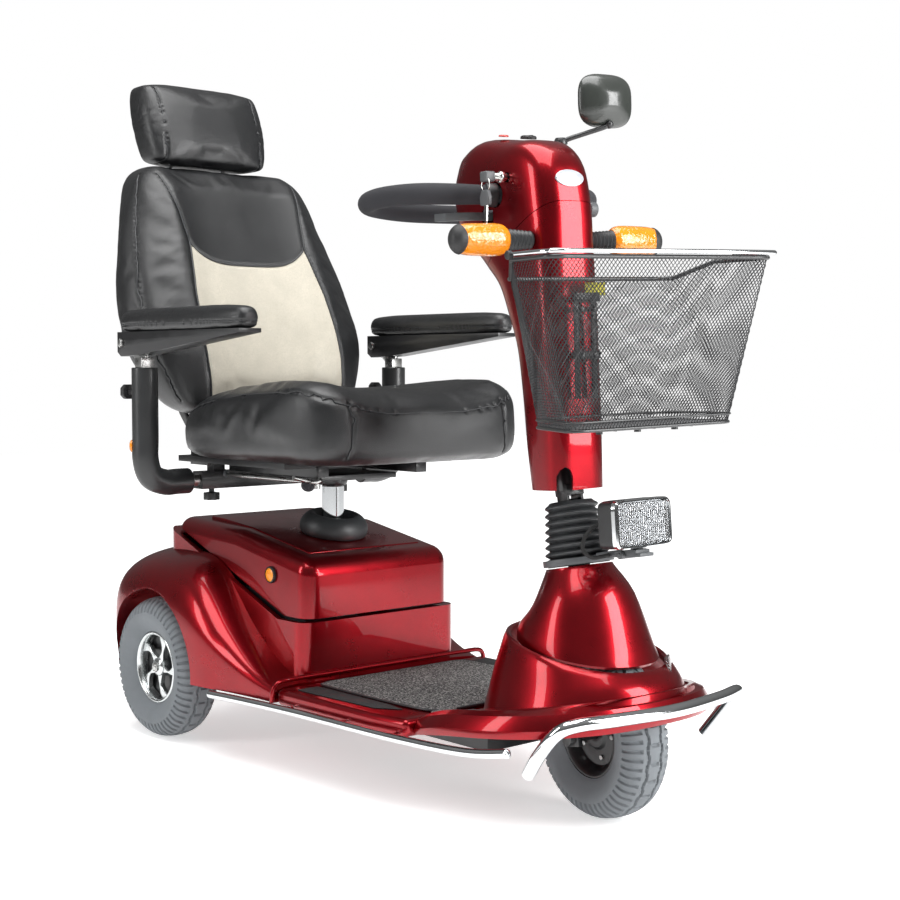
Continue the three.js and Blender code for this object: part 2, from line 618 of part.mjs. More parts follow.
add('mirror_arm', join(
  bar([[769, 44, 1041], [776, 54, 1052], [808, 84, 1062], [828, 104, 1080], [831, 110, 1096]], 4, 8, 6),
  rodZ(9, 1037, 1044, 10).translate(768, 42, 0),
  new THREE.SphereGeometry(7, 8, 6).translate(830, 111, 1101),
), BLACK, steering);
const mirrorRing = (x, a, b) => oval(a, b, 3, 20).map(([u, v]) => [x, 113 + u, 1104 + v]);
add('mirror_head', loft([
  mirrorRing(786, 48, 39), mirrorRing(789, 51, 42), mirrorRing(799, 47, 39), mirrorRing(807, 30, 25),
  mirrorRing(820, 6, 5),
]), BLACK, steering);

// ---------------------------------------------------------------- basket
const BASKET = { rimZ: [820, 843], bottomZ: 603 };
function basketRing(inset, t, z) {
  const mix = (low, high) => low + (high - low) * t;
  const x0 = mix(893, 886) + inset;
  const x1 = mix(1042, 1074) - inset;
  const rear = mix(98, 150) - inset;
  const front = mix(147, 200) - inset;
  const bend = mix(915, 972);
  const corner = 16;
  const half = [[x0, rear - corner], [x0 + corner, rear], [bend, mix(118, 196) - inset], [x1 - corner, front],
    [x1, front - corner]];
  const outline = [...half.map(([x, y]) => [x, -y]), ...[...half].reverse()];
  return outline.map(([x, y]) => [x, y, z(x)]);
}
function rimHeight(x) {
  const rise = Math.min(1, Math.max(0, (x - 905) / 55));
  return BASKET.rimZ[0] + (BASKET.rimZ[1] - BASKET.rimZ[0]) * rise;
}
const level = (z) => () => z;
const basketShell = cut(
  loft([basketRing(0, 0, level(BASKET.bottomZ)), basketRing(0, 1, rimHeight)]),
  loft([basketRing(4, 0, level(BASKET.bottomZ + 4)), basketRing(4, 1, (x) => rimHeight(x) + 12)]),
);
const sideSlots = [930, 960, 990, 1020].map((x) => box(x - 10, x + 10, -230, 230, 640, 790));
const frontSlots = [-120, -80, -40, 0, 40, 80, 120].map((y) => box(1030, 1090, y - 15, y + 15, 640, 800));
const rearSlots = [-75, 75].map((y) => box(880, 903, y - 18, y + 18, 640, 790));
const hanger = join(
  box(874, 890, -22, 22, 700, 712),
  box(874, 880, -22, 22, 700, 760),
);
add('basket', join(cut(basketShell, ...sideSlots, ...frontSlots, ...rearSlots), hanger), BLACK, steering);

const BAIL = { x: 985, y: 206, z: 850 };
add('basket_handle', bar([
  [BAIL.x, -BAIL.y, BAIL.z], [1020, -BAIL.y, BAIL.z], [1062, -202, BAIL.z], [1082, -180, BAIL.z],
  [1086, 0, BAIL.z], [1082, 180, BAIL.z], [1062, 202, BAIL.z], [1020, BAIL.y, BAIL.z], [BAIL.x, BAIL.y, BAIL.z],
], 4, 20, 6), CHROME, steering);

// ---------------------------------------------------------------- seat base
const POST_R = 24;
add('seat_post', rodZ(POST_R, 130, 460, 20).translate(SEAT_X, 0, 0), CHROME);

add('seat_swivel_plate', cut(join(
  box(SEAT_X - 75, SEAT_X + 75, -90, 90, 484, 494),
  rodZ(31, 440, 486, 20).translate(SEAT_X, 0, 0),
), rodZ(POST_R + GAP, 430, 461, 20).translate(SEAT_X, 0, 0)), STEEL_BLACK);

const SWIVEL_LEVER = { x: 238, y: -48 };
add('swivel_lever', join(
  rodZ(8, 466, 483.5, 12).translate(SWIVEL_LEVER.x, SWIVEL_LEVER.y, 0),
  bar([[SWIVEL_LEVER.x, SWIVEL_LEVER.y, 472], [262, -76, 474], [296, -106, 478]], 4, 8, 8),
  bar([[292, -103, 478], [322, -130, 481]], 10, 2, 10),
), BLACK);

const CROSS_BAR = { x0: 34, x1: 66, half: 180, z0: 462, z1: 494 };
const STUB_R = 10;
const recliner = SIDES.map(([, side]) => {
  const [y0, y1] = [side * 158, side * 164].sort((p, q) => p - q);
  return sidePlate([[0, 505], [60, 505], [60, 523], [40, 560], [22, 568], [4, 558]], y0, y1);
});
const hangers = SIDES.map(([, side]) => box(38, 62, side * 140 - 12, side * 140 + 12, CROSS_BAR.z1 - 2, 514));
const slides = SIDES.map(([, side]) => box(70, 345, side * 112 - 12, side * 112 + 12, 495, 514));
add('seat_frame', cut(join(
  box(0, 340, -190, 190, 512, 523),
  box(CROSS_BAR.x0, CROSS_BAR.x1, -CROSS_BAR.half, CROSS_BAR.half, CROSS_BAR.z0, CROSS_BAR.z1),
  ...recliner, ...hangers, ...slides,
), rod(STUB_R + GAP, -200, 200, 16).translate(50, 0, 478),
rod(8 + GAP, -200, 200, 14).translate(BACK_PIVOT[0], 0, BACK_PIVOT[1])), STEEL_BLACK);

const cushionRing = (z0, z1, a, b) => planRing({ x: 300, a, b, power: 5, zRear: z0, zFront: z1, n: 28 });
add('seat_cushion', loft([
  cushionRing(525, 526, 200, 218), cushionRing(540, 544, 213, 235), cushionRing(584, 618, 214, 238),
  cushionRing(602, 642, 210, 232), cushionRing(610, 656, 196, 214),
]), VINYL);

// ---------------------------------------------------------------- backrest and headrest
const BACK_ARM = [[36, 550], [22, 530], [8, 537], [-50, 598], [-98, 672], [-134, 752], [-184, 862], [-218, 955],
  [-196, 958], [-154, 852], [-110, 742], [-74, 668], [-32, 604], [2, 566]];
const backArms = SIDES.map(([, side]) => {
  const [y0, y1] = [side * 150, side * 156].sort((p, q) => p - q);
  return sidePlate(BACK_ARM, y0, y1);
});
const backPins = SIDES.map(([, side]) => {
  const [y0, y1] = [side * 150, side * 168].sort((p, q) => p - q);
  return rod(8, y0, y1, 14).translate(BACK_PIVOT[0], 0, BACK_PIVOT[1]);
});
const SUPPORT = { y: 62, r: 6, x: -254.5, z: 1160, slope: 0.287 };
const supportLine = (side, radius, z0, z1, sides = 10) => bar([
  [SUPPORT.x + SUPPORT.slope * (SUPPORT.z - z0), side * SUPPORT.y, z0],
  [SUPPORT.x + SUPPORT.slope * (SUPPORT.z - z1), side * SUPPORT.y, z1],
], radius, 1, sides);
add('backrest_frame', cut(join(
  ...backArms, ...backPins,
  box(-134, -128, -153, 153, 752, 800),
  box(-212, -202, -153, 153, 928, 952),
  ...SIDES.map(([, side]) => supportLine(side, 11, 922, 958, 12)),
), ...SIDES.map(([, side]) => supportLine(side, SUPPORT.r + GAP, 900, 980))), STEEL_BLACK);

// Sections up the backrest: front x, back x, half width, height.
const BACK_SECTIONS = [
  [62, -22, 160, 600], [64, -42, 185, 622], [56, -60, 205, 660], [30, -95, 226, 740], [-15, -140, 218, 850],
  [-58, -180, 195, 950], [-95, -213, 172, 1030], [-118, -226, 155, 1064], [-140, -214, 128, 1080],
];
add('backrest', cut(
  loft(BACK_SECTIONS.map(([front, back, half, z]) => planRing({
    x: (front + back) / 2, a: (front - back) / 2, b: half, power: 3.4, zRear: z, n: 24,
  }))),
  ...SIDES.map(([, side]) => supportLine(side, SUPPORT.r + 1.5, 980, 1100)),
), VINYL);

const HEAD_SECTIONS = [[-208, 36, 118, 1086], [-212, 46, 130, 1098], [-231, 50, 136, 1160], [-249, 46, 130, 1226],
  [-253, 34, 116, 1240]];
add('headrest', join(
  loft(HEAD_SECTIONS.map(([x, a, b, z]) => planRing({ x, a, b, power: 3.4, zRear: z, n: 24 }))),
  ...SIDES.map(([, side]) => supportLine(side, SUPPORT.r, 925, 1120)),
), VINYL);

const RECLINE_Y = -172;
add('recline_lever', join(
  rod(12, RECLINE_Y - 6, RECLINE_Y, 14).translate(BACK_PIVOT[0], 0, BACK_PIVOT[1]),
  sidePlate([[16, 550], [28, 540], [70, 566], [64, 578]], RECLINE_Y - 6, RECLINE_Y),
), BLACK);

// ---------------------------------------------------------------- armrests
const ARM = { pivot: [9, 730], post: 50 };
for (const [name, side] of SIDES) {
  const y = side * ARM_Y;
  const [ear0, ear1] = [y - 4, y + 4];
  const tube = bar([
    [ARM.post, y, 686], [ARM.post, y, 560], [ARM.post, y, 520], [ARM.post, side * 278, 490], [ARM.post, side * 250, 478],
    [ARM.post, side * 200, 478],
  ], 24, 12, 10);
  const stub = side < 0
    ? rod(STUB_R, -205, -110, 14).translate(ARM.post, 0, 478)
    : rod(STUB_R, 110, 205, 14).translate(ARM.post, 0, 478);
  const ear = join(
    sidePlate([[0, 720], [42, 682], [60, 682], [60, 712], [18, 741]], ear0, ear1),
    rod(13, ear0, ear1, 16).translate(ARM.pivot[0], 0, ARM.pivot[1]),
  );
  add(`armrest_post_${name}`, cut(
    join(tube, stub, ear),
    rod(PIN_R + GAP, ear0 - 5, ear1 + 5, 14).translate(ARM.pivot[0], 0, ARM.pivot[1]),
  ), BLACK);
  add(`armrest_arm_${name}`, join(cut(
    sidePlate([[-8, 750], [-8, 714], [4, 706], [60, 708], [385, 744], [385, 751]], y - 22, y + 22),
    box(-30, 74, ear0 - 0.5, ear1 + 0.5, 690, 745),
  ), rod(PIN_R, y - 24, y + 24, 12).translate(ARM.pivot[0], 0, ARM.pivot[1])), BLACK);
  const padRing = (z, inset) => planRing({ x: 190, a: 202 - inset, b: 32 - inset, power: 4, zRear: z, n: 24 })
    .map(([u, v, w]) => [u, v + y, w]);
  add(`armrest_pad_${name}`, loft([padRing(751.4, 5), padRing(757, 0), padRing(780, 0), padRing(789, 8)]), VINYL);
}

export default scooter;
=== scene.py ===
"""Three-wheel mobility scooter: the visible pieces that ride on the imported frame."""

import json
import math

import bmesh
import bpy
from mathutils import Matrix, Vector
from mathutils.bvhtree import BVHTree
from mathutils.kdtree import KDTree


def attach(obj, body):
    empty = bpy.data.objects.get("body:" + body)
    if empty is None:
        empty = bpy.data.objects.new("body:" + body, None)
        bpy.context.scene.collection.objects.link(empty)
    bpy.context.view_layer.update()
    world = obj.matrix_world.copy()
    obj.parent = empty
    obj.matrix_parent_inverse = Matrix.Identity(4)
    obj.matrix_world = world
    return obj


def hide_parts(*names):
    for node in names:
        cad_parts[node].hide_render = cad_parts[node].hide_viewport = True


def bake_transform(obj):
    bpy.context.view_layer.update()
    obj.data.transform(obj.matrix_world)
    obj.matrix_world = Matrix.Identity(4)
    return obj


bl_info = {
    "name": "Mobility Scooter Pieces",
    "version": (1, 0, 0),
    "blender": (4, 5, 0),
    "location": "View3D > Sidebar > Scooter",
    "description": "Builds the visible pieces of a three-wheel mobility scooter",
    "category": "Object",
}

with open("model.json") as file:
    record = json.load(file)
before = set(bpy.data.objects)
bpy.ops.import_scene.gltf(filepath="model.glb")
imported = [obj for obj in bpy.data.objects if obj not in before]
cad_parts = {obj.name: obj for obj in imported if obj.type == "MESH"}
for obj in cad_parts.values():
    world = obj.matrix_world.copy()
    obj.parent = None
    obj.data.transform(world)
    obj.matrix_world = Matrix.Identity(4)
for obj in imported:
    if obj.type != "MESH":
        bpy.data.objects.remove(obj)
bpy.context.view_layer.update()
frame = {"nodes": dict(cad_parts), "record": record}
BODY_OF = {
    node: body
    for body, nodes in frame["record"]["behaviour"]["bodies"].items()
    for node in nodes
}

# ------------------------------------------------------------------ layout
# Shapes are drawn in millimetres with x counted from the rear axle.
MM = 0.001
LAYOUT_SHIFT = -407.84
WHEEL_R = 130.0
AXLE_POINT = Vector((900.0, 0.0, 130.0))
RAKE = math.radians(10.8)
STEER_REST = math.radians(-9.6)
STEER_AXIS = Vector((-math.sin(RAKE), 0.0, math.cos(RAKE)))
SIDES = (("right", -1), ("left", 1))
SAME_SPOT = 2e-5
NEARLY_FLAT = math.radians(1.5)

STRAIGHT = Matrix.Scale(MM, 4) @ Matrix.Translation((LAYOUT_SHIFT, 0, 0))
STEERED = (
    STRAIGHT
    @ Matrix.Translation(AXLE_POINT)
    @ Matrix.Rotation(STEER_REST, 4, STEER_AXIS)
    @ Matrix.Translation(-AXLE_POINT)
)
ALONG_AXIS = STEERED @ Matrix.Translation(AXLE_POINT) @ Matrix.Rotation(-RAKE, 4, "Y")
LAMP = (
    STRAIGHT
    @ Matrix.Translation((966, 0, 456))
    @ Matrix.Rotation(0.07, 4, "Z")
    @ Matrix.Rotation(-0.08, 4, "Y")
)
DASH = STEERED @ Matrix.Translation((706, 0, 1050.6)) @ Matrix.Rotation(0.11, 4, "Y")


# ------------------------------------------------------------------ mesh code
def oval(a, b, power, count):
    """A rounded outline with half sizes a and b; a larger power is squarer."""
    points = []
    for i in range(count):
        t = 2 * math.pi * (i + 0.5) / count
        c, s = math.cos(t), math.sin(t)
        u = a * math.copysign(abs(c) ** (2 / power), c)
        v = b * math.copysign(abs(s) ** (2 / power), s)
        points.append((u, v))
    return points


def plan_ring(x, a, b, z_rear, z_front=None, power=2.2, count=64):
    """A level or sloping ring seen from above."""
    z_front = z_rear if z_front is None else z_front
    return [
        (x + u, v, z_rear + (z_front - z_rear) * (u + a) / (2 * a))
        for u, v in oval(a, b, power, count)
    ]


def between(rows, steps):
    """Smooth rows of numbers in between the given ones (Catmull-Rom)."""
    made = []
    last = len(rows) - 1
    for k in range(last):
        p0, p1 = rows[max(k - 1, 0)], rows[k]
        p2, p3 = rows[k + 1], rows[min(k + 2, last)]
        for i in range(steps):
            t = i / steps
            row = []
            for a, b, c, d in zip(p0, p1, p2, p3):
                square, cube = 2 * a - 5 * b + 4 * c - d, 3 * b - a - 3 * c + d
                row.append(0.5 * (2 * b + (c - a) * t + square * t * t + cube * t**3))
            made.append(tuple(row))
    made.append(tuple(rows[-1]))
    return made


def loft(rings, caps=True):
    """Vertices and faces of a skin through rings of equal count."""
    count = len(rings[0])
    verts = [Vector(p) for ring in rings for p in ring]
    faces = []
    for r in range(len(rings) - 1):
        for i in range(count):
            j = (i + 1) % count
            low, high = r * count, (r + 1) * count
            faces.append((low + i, low + j, high + j, high + i))
    if caps:
        faces.append(tuple(reversed(range(count))))
        faces.append(tuple(range((len(rings) - 1) * count, len(rings) * count)))
    return verts, faces


def lathe(profile, segments, axis="Y"):
    """A profile of (radius, distance) turned round an axis; closed if it ends where it starts."""
    closed = profile[0] == profile[-1]
    rows = profile[:-1] if closed else profile
    verts, faces = [], []
    for i in range(segments):
        t = 2 * math.pi * i / segments
        c, s = math.cos(t), math.sin(t)
        for radius, h in rows:
            verts.append(
                {
                    "X": Vector((h, radius * c, radius * s)),
                    "Y": Vector((radius * s, h, radius * c)),
                    "Z": Vector((radius * c, radius * s, h)),
                }[axis]
            )
    n = len(rows)
    for i in range(segments):
        a, b = i * n, ((i + 1) % segments) * n
        for k in range(n if closed else n - 1):
            m = (k + 1) % n
            faces.append((a + k, b + k, b + m, a + m))
    return verts, faces


def tube(points, radius, sides=16, smooth=6, closed=False):
    """A round tube along a curve; radius is one number or one for each given point."""
    radii = radius if isinstance(radius, (list, tuple)) else [radius] * len(points)
    rows = [(*p, r) for p, r in zip(points, radii)]
    if closed:
        rows = rows[-1:] + rows + rows[:2]
    if smooth > 1 and len(rows) > 2:
        rows = between(rows, smooth)
        if closed:
            rows = rows[smooth : -smooth - 1]
    path = [Vector(r[:3]) for r in rows]
    count = len(path)
    rings, normal = [], None
    for i, p in enumerate(path):
        ahead = path[(i + 1) % count] if closed else path[min(i + 1, count - 1)]
        behind = path[i - 1] if closed else path[max(i - 1, 0)]
        tangent = (ahead - behind).normalized()
        if normal is None:
            helper = Vector((0, 0, 1)) if abs(tangent.z) < 0.9 else Vector((1, 0, 0))
            normal = tangent.cross(helper).normalized()
        normal = (normal - tangent * normal.dot(tangent)).normalized()
        side = tangent.cross(normal)
        ring = []
        for k in range(sides):
            t = 2 * math.pi * k / sides
            ring.append(p + rows[i][3] * (normal * math.cos(t) + side * math.sin(t)))
        rings.append(ring)
    verts, faces = loft(rings, caps=not closed)
    if closed:
        last = (count - 1) * sides
        for k in range(sides):
            m = (k + 1) % sides
            faces.append((last + k, last + m, m, k))
    return verts, faces


def prism(outline, low, high, axis="Y"):
    """A flat outline drawn in the two other axes, from low to high along the axis."""
    place = {
        "X": lambda u, v, w: (w, u, v),
        "Y": lambda u, v, w: (u, w, v),
        "Z": lambda u, v, w: (u, v, w),
    }[axis]
    return loft([[place(u, v, w) for u, v in outline] for w in (low, high)])


def block(x0, x1, y0, y1, z0, z1):
    return prism([(x0, y0), (x1, y0), (x1, y1), (x0, y1)], z0, z1, "Z")


def rod(radius, low, high, axis="Y", at=(0, 0, 0), sides=24):
    """A solid round bar along an axis."""
    return moved(prism(oval(radius, radius, 2, sides), low, high, axis), at)


def moved(shape, offset):
    """A vertex and face list shifted by an offset."""
    verts, faces = shape
    return [v + Vector(offset) for v in verts], faces


def merged(*parts):
    """Several vertex and face lists as one."""
    verts, faces = [], []
    for more_verts, more_faces in parts:
        base = len(verts)
        verts += [Vector(v) for v in more_verts]
        faces += [tuple(base + i for i in f) for f in more_faces]
    return verts, faces


def mesh_object(name, shape, matrix=None):
    """A new object from vertices and faces, with its faces turned outwards."""
    verts, faces = shape
    mesh = bpy.data.meshes.new(name)
    mesh.from_pydata([tuple(v) for v in verts], [], faces)
    if matrix is not None:
        mesh.transform(matrix)
    bm = bmesh.new()
    bm.from_mesh(mesh)
    bmesh.ops.remove_doubles(bm, verts=bm.verts, dist=1e-6)
    bmesh.ops.recalc_face_normals(bm, faces=bm.faces)
    bm.to_mesh(mesh)
    bm.free()
    obj = bpy.data.objects.new(name, mesh)
    bpy.context.scene.collection.objects.link(obj)
    return obj


def applied(obj, *settings):
    """Adds modifiers given as (type, {property: value}) and applies them all."""
    for kind, values in settings:
        modifier = obj.modifiers.new(kind.title(), kind)
        for key, value in values.items():
            setattr(modifier, key, value)
    bpy.context.view_layer.update()
    evaluated = obj.evaluated_get(bpy.context.evaluated_depsgraph_get())
    mesh = bpy.data.meshes.new_from_object(evaluated)
    obj.modifiers.clear()
    old = obj.data
    obj.data = mesh
    bpy.data.meshes.remove(old)
    return obj


def bevelled(obj, width, segments=3, angle=28.0):
    """Rounds the edges sharper than angle; width in millimetres."""
    values = {"width": width * MM, "segments": segments}
    values.update(limit_method="ANGLE", angle_limit=math.radians(angle))
    return applied(obj, ("BEVEL", values))


def carved(obj, *tools, operation="DIFFERENCE"):
    """Cuts the tools out of obj, or joins them to it, and removes them."""
    values = {"operation": operation, "solver": "EXACT"}
    applied(obj, *[("BOOLEAN", {**values, "object": tool}) for tool in tools])
    for tool in tools:
        bpy.data.objects.remove(tool)
    return obj


def softened(obj, levels=1):
    return applied(obj, ("SUBSURF", {"levels": levels, "render_levels": levels}))


def finished(obj, finish, node=None, body=None, slot=None, stands_for=(), angle=32.0):
    """Shades a piece, gives it its finish and hangs it on its body of the frame."""
    obj.data.shade_smooth()
    obj.data.set_sharp_from_angle(angle=math.radians(angle))
    obj.data.materials.clear()
    obj.data.materials.append(material(finish))
    node = node or (stands_for[0] if stands_for else None)
    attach(obj, body or BODY_OF[node])
    if stands_for:
        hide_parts(*stands_for)
    return obj


def piece(name, shape, finish, place=STRAIGHT, bevel=(), **more):
    """A finished piece made from a shape, with its edges rounded if asked."""
    obj = mesh_object(name, shape, place)
    if bevel:
        bevelled(obj, *bevel)
    return finished(obj, finish, **more)


def from_frame(node, name, finish, bevel=1.0, segments=2):
    """A dressed copy of a frame node with softened edges, standing for that node."""
    source = frame["nodes"][node].data
    verts = [v.co.copy() for v in source.vertices]
    obj = mesh_object(name, (verts, [tuple(p.vertices) for p in source.polygons]))
    bm = bmesh.new()
    bm.from_mesh(obj.data)
    bmesh.ops.remove_doubles(bm, verts=bm.verts, dist=SAME_SPOT)
    bmesh.ops.dissolve_limit(bm, angle_limit=NEARLY_FLAT, verts=bm.verts, edges=bm.edges)
    bm.to_mesh(obj.data)
    bm.free()
    return finished(bevelled(obj, bevel, segments), finish, stands_for=(node,))


# ------------------------------------------------------------------ shared shader effects
def shader_group(name, inputs, outputs, build):
    """A node group with named inputs and outputs, built once."""
    group = bpy.data.node_groups.get(name)
    if group:
        return group
    group = bpy.data.node_groups.new(name, "ShaderNodeTree")
    for label, kind, default in inputs:
        socket = group.interface.new_socket(name=label, in_out="INPUT", socket_type=kind)
        socket.default_value = default
    for label, kind in outputs:
        group.interface.new_socket(name=label, in_out="OUTPUT", socket_type=kind)
    source = group.nodes.new("NodeGroupInput")
    target = group.nodes.new("NodeGroupOutput")
    build(group, source, target)
    return group


def fed(tree, socket, value):
    """Links a socket to another one, or gives it a plain value."""
    if isinstance(value, bpy.types.NodeSocket):
        tree.links.new(value, socket)
    else:
        socket.default_value = value


def linked(tree, kind, properties=None, **inputs):
    """A new node with its properties set; inputs go by name, or as i0, i1, i2 by place."""
    node = tree.nodes.new(kind)
    for key, value in (properties or {}).items():
        setattr(node, key, value)
    for key, value in inputs.items():
        by_place = key[0] == "i" and key[1:].isdigit()
        fed(tree, node.inputs[int(key[1:]) if by_place else key], value)
    return node


def placed_texture(tree, source, kind, properties=None, **inputs):
    """A texture in object space whose scale is an input of the effect."""
    place = linked(tree, "ShaderNodeTexCoord").outputs["Object"]
    scale = source.outputs["Scale"]
    return linked(tree, kind, properties, Vector=place, Scale=scale, **inputs)


def ranged(tree, value, low, high, to_low=0.0, to_high=1.0):
    """A value spread from one range to another."""
    spread = linked(tree, "ShaderNodeMapRange", i0=value, i1=low, i2=high, i3=to_low, i4=to_high)
    return spread.outputs[0]


def mixed_colour(tree, mask, first, second):
    """One of two colours, or a mix of them, by a mask."""
    mixed = linked(tree, "ShaderNodeMix", {"data_type": "RGBA"}, i0=mask, i6=first, i7=second)
    return mixed.outputs[2]


def build_colour_drift(group, source, target):
    cloud = placed_texture(group, source, "ShaderNodeTexNoise", Detail=5.0, Roughness=0.6)
    mask = ranged(group, cloud.outputs["Fac"], 0.35, 0.65)
    colours = source.outputs["Colour"], source.outputs["Other Colour"]
    group.links.new(mixed_colour(group, mask, *colours), target.inputs["Colour"])


def build_worn_gloss(group, source, target):
    cloud = placed_texture(group, source, "ShaderNodeTexNoise", Detail=8.0, Roughness=0.65)
    ends = source.outputs["Low"], source.outputs["High"]
    gloss = ranged(group, cloud.outputs["Fac"], 0.3, 0.7, *ends)
    group.links.new(gloss, target.inputs["Roughness"])


def build_fine_grain(group, source, target):
    speckle = placed_texture(group, source, "ShaderNodeTexNoise", Detail=3.0)
    group.links.new(speckle.outputs["Fac"], target.inputs["Height"])


def build_leather_grain(group, source, target):
    edges = {"feature": "DISTANCE_TO_EDGE"}
    cells = placed_texture(group, source, "ShaderNodeTexVoronoi", edges)
    crease = ranged(group, cells.outputs["Distance"], 0.0, 0.25)
    group.links.new(crease, target.inputs["Height"])
    group.links.new(crease, target.inputs["Mask"])


def build_flake(group, source, target):
    cells = placed_texture(group, source, "ShaderNodeTexVoronoi")
    pick = linked(group, "ShaderNodeSeparateColor", Color=cells.outputs["Color"]).outputs[0]
    mask = ranged(group, pick, 0.72, 1.0)
    colours = source.outputs["Colour"], source.outputs["Flake Colour"]
    group.links.new(mixed_colour(group, mask, *colours), target.inputs["Colour"])


def build_speckle(group, source, target):
    fleck = placed_texture(group, source, "ShaderNodeTexNoise", Detail=4.0, Roughness=0.8)
    mask = ranged(group, fleck.outputs["Fac"], 0.5, 0.58)
    colours = source.outputs["Colour"], source.outputs["Fleck Colour"]
    group.links.new(mixed_colour(group, mask, *colours), target.inputs["Colour"])
    group.links.new(mask, target.inputs["Height"])


COLOUR, NUMBER = "NodeSocketColor", "NodeSocketFloat"
GROUPS = {
    "Colour Drift": (
        [
            ("Colour", COLOUR, (0.5, 0.5, 0.5, 1)),
            ("Other Colour", COLOUR, (0.4, 0.4, 0.4, 1)),
            ("Scale", NUMBER, 6.0),
        ],
        [("Colour", COLOUR)],
        build_colour_drift,
    ),
    "Worn Gloss": (
        [("Low", NUMBER, 0.2), ("High", NUMBER, 0.3), ("Scale", NUMBER, 9.0)],
        [("Roughness", NUMBER)],
        build_worn_gloss,
    ),
    "Fine Grain": ([("Scale", NUMBER, 900.0)], [("Height", NUMBER)], build_fine_grain),
    "Leather Grain": (
        [("Scale", NUMBER, 420.0)],
        [("Height", NUMBER), ("Mask", NUMBER)],
        build_leather_grain,
    ),
    "Paint Flake": (
        [
            ("Colour", COLOUR, (0.3, 0, 0, 1)),
            ("Flake Colour", COLOUR, (0.6, 0.1, 0.1, 1)),
            ("Scale", NUMBER, 1500.0),
        ],
        [("Colour", COLOUR)],
        build_flake,
    ),
    "Carpet Speckle": (
        [
            ("Colour", COLOUR, (0.02, 0.02, 0.02, 1)),
            ("Fleck Colour", COLOUR, (0.2, 0.2, 0.2, 1)),
            ("Scale", NUMBER, 400.0),
        ],
        [("Colour", COLOUR), ("Height", NUMBER)],
        build_speckle,
    ),
}


def effect(tree, name, **values):
    """Places a shared effect in a material with its own values."""
    inputs, outputs, build = GROUPS[name]
    node = tree.nodes.new("ShaderNodeGroup")
    node.node_tree = shader_group(name, inputs, outputs, build)
    for label, value in values.items():
        fed(tree, node.inputs[label.replace("_", " ")], value)
    return node


def shade(rgb, factor):
    """A colour made lighter or darker."""
    return (*[min(1.0, c * factor) for c in rgb[:3]], 1.0)


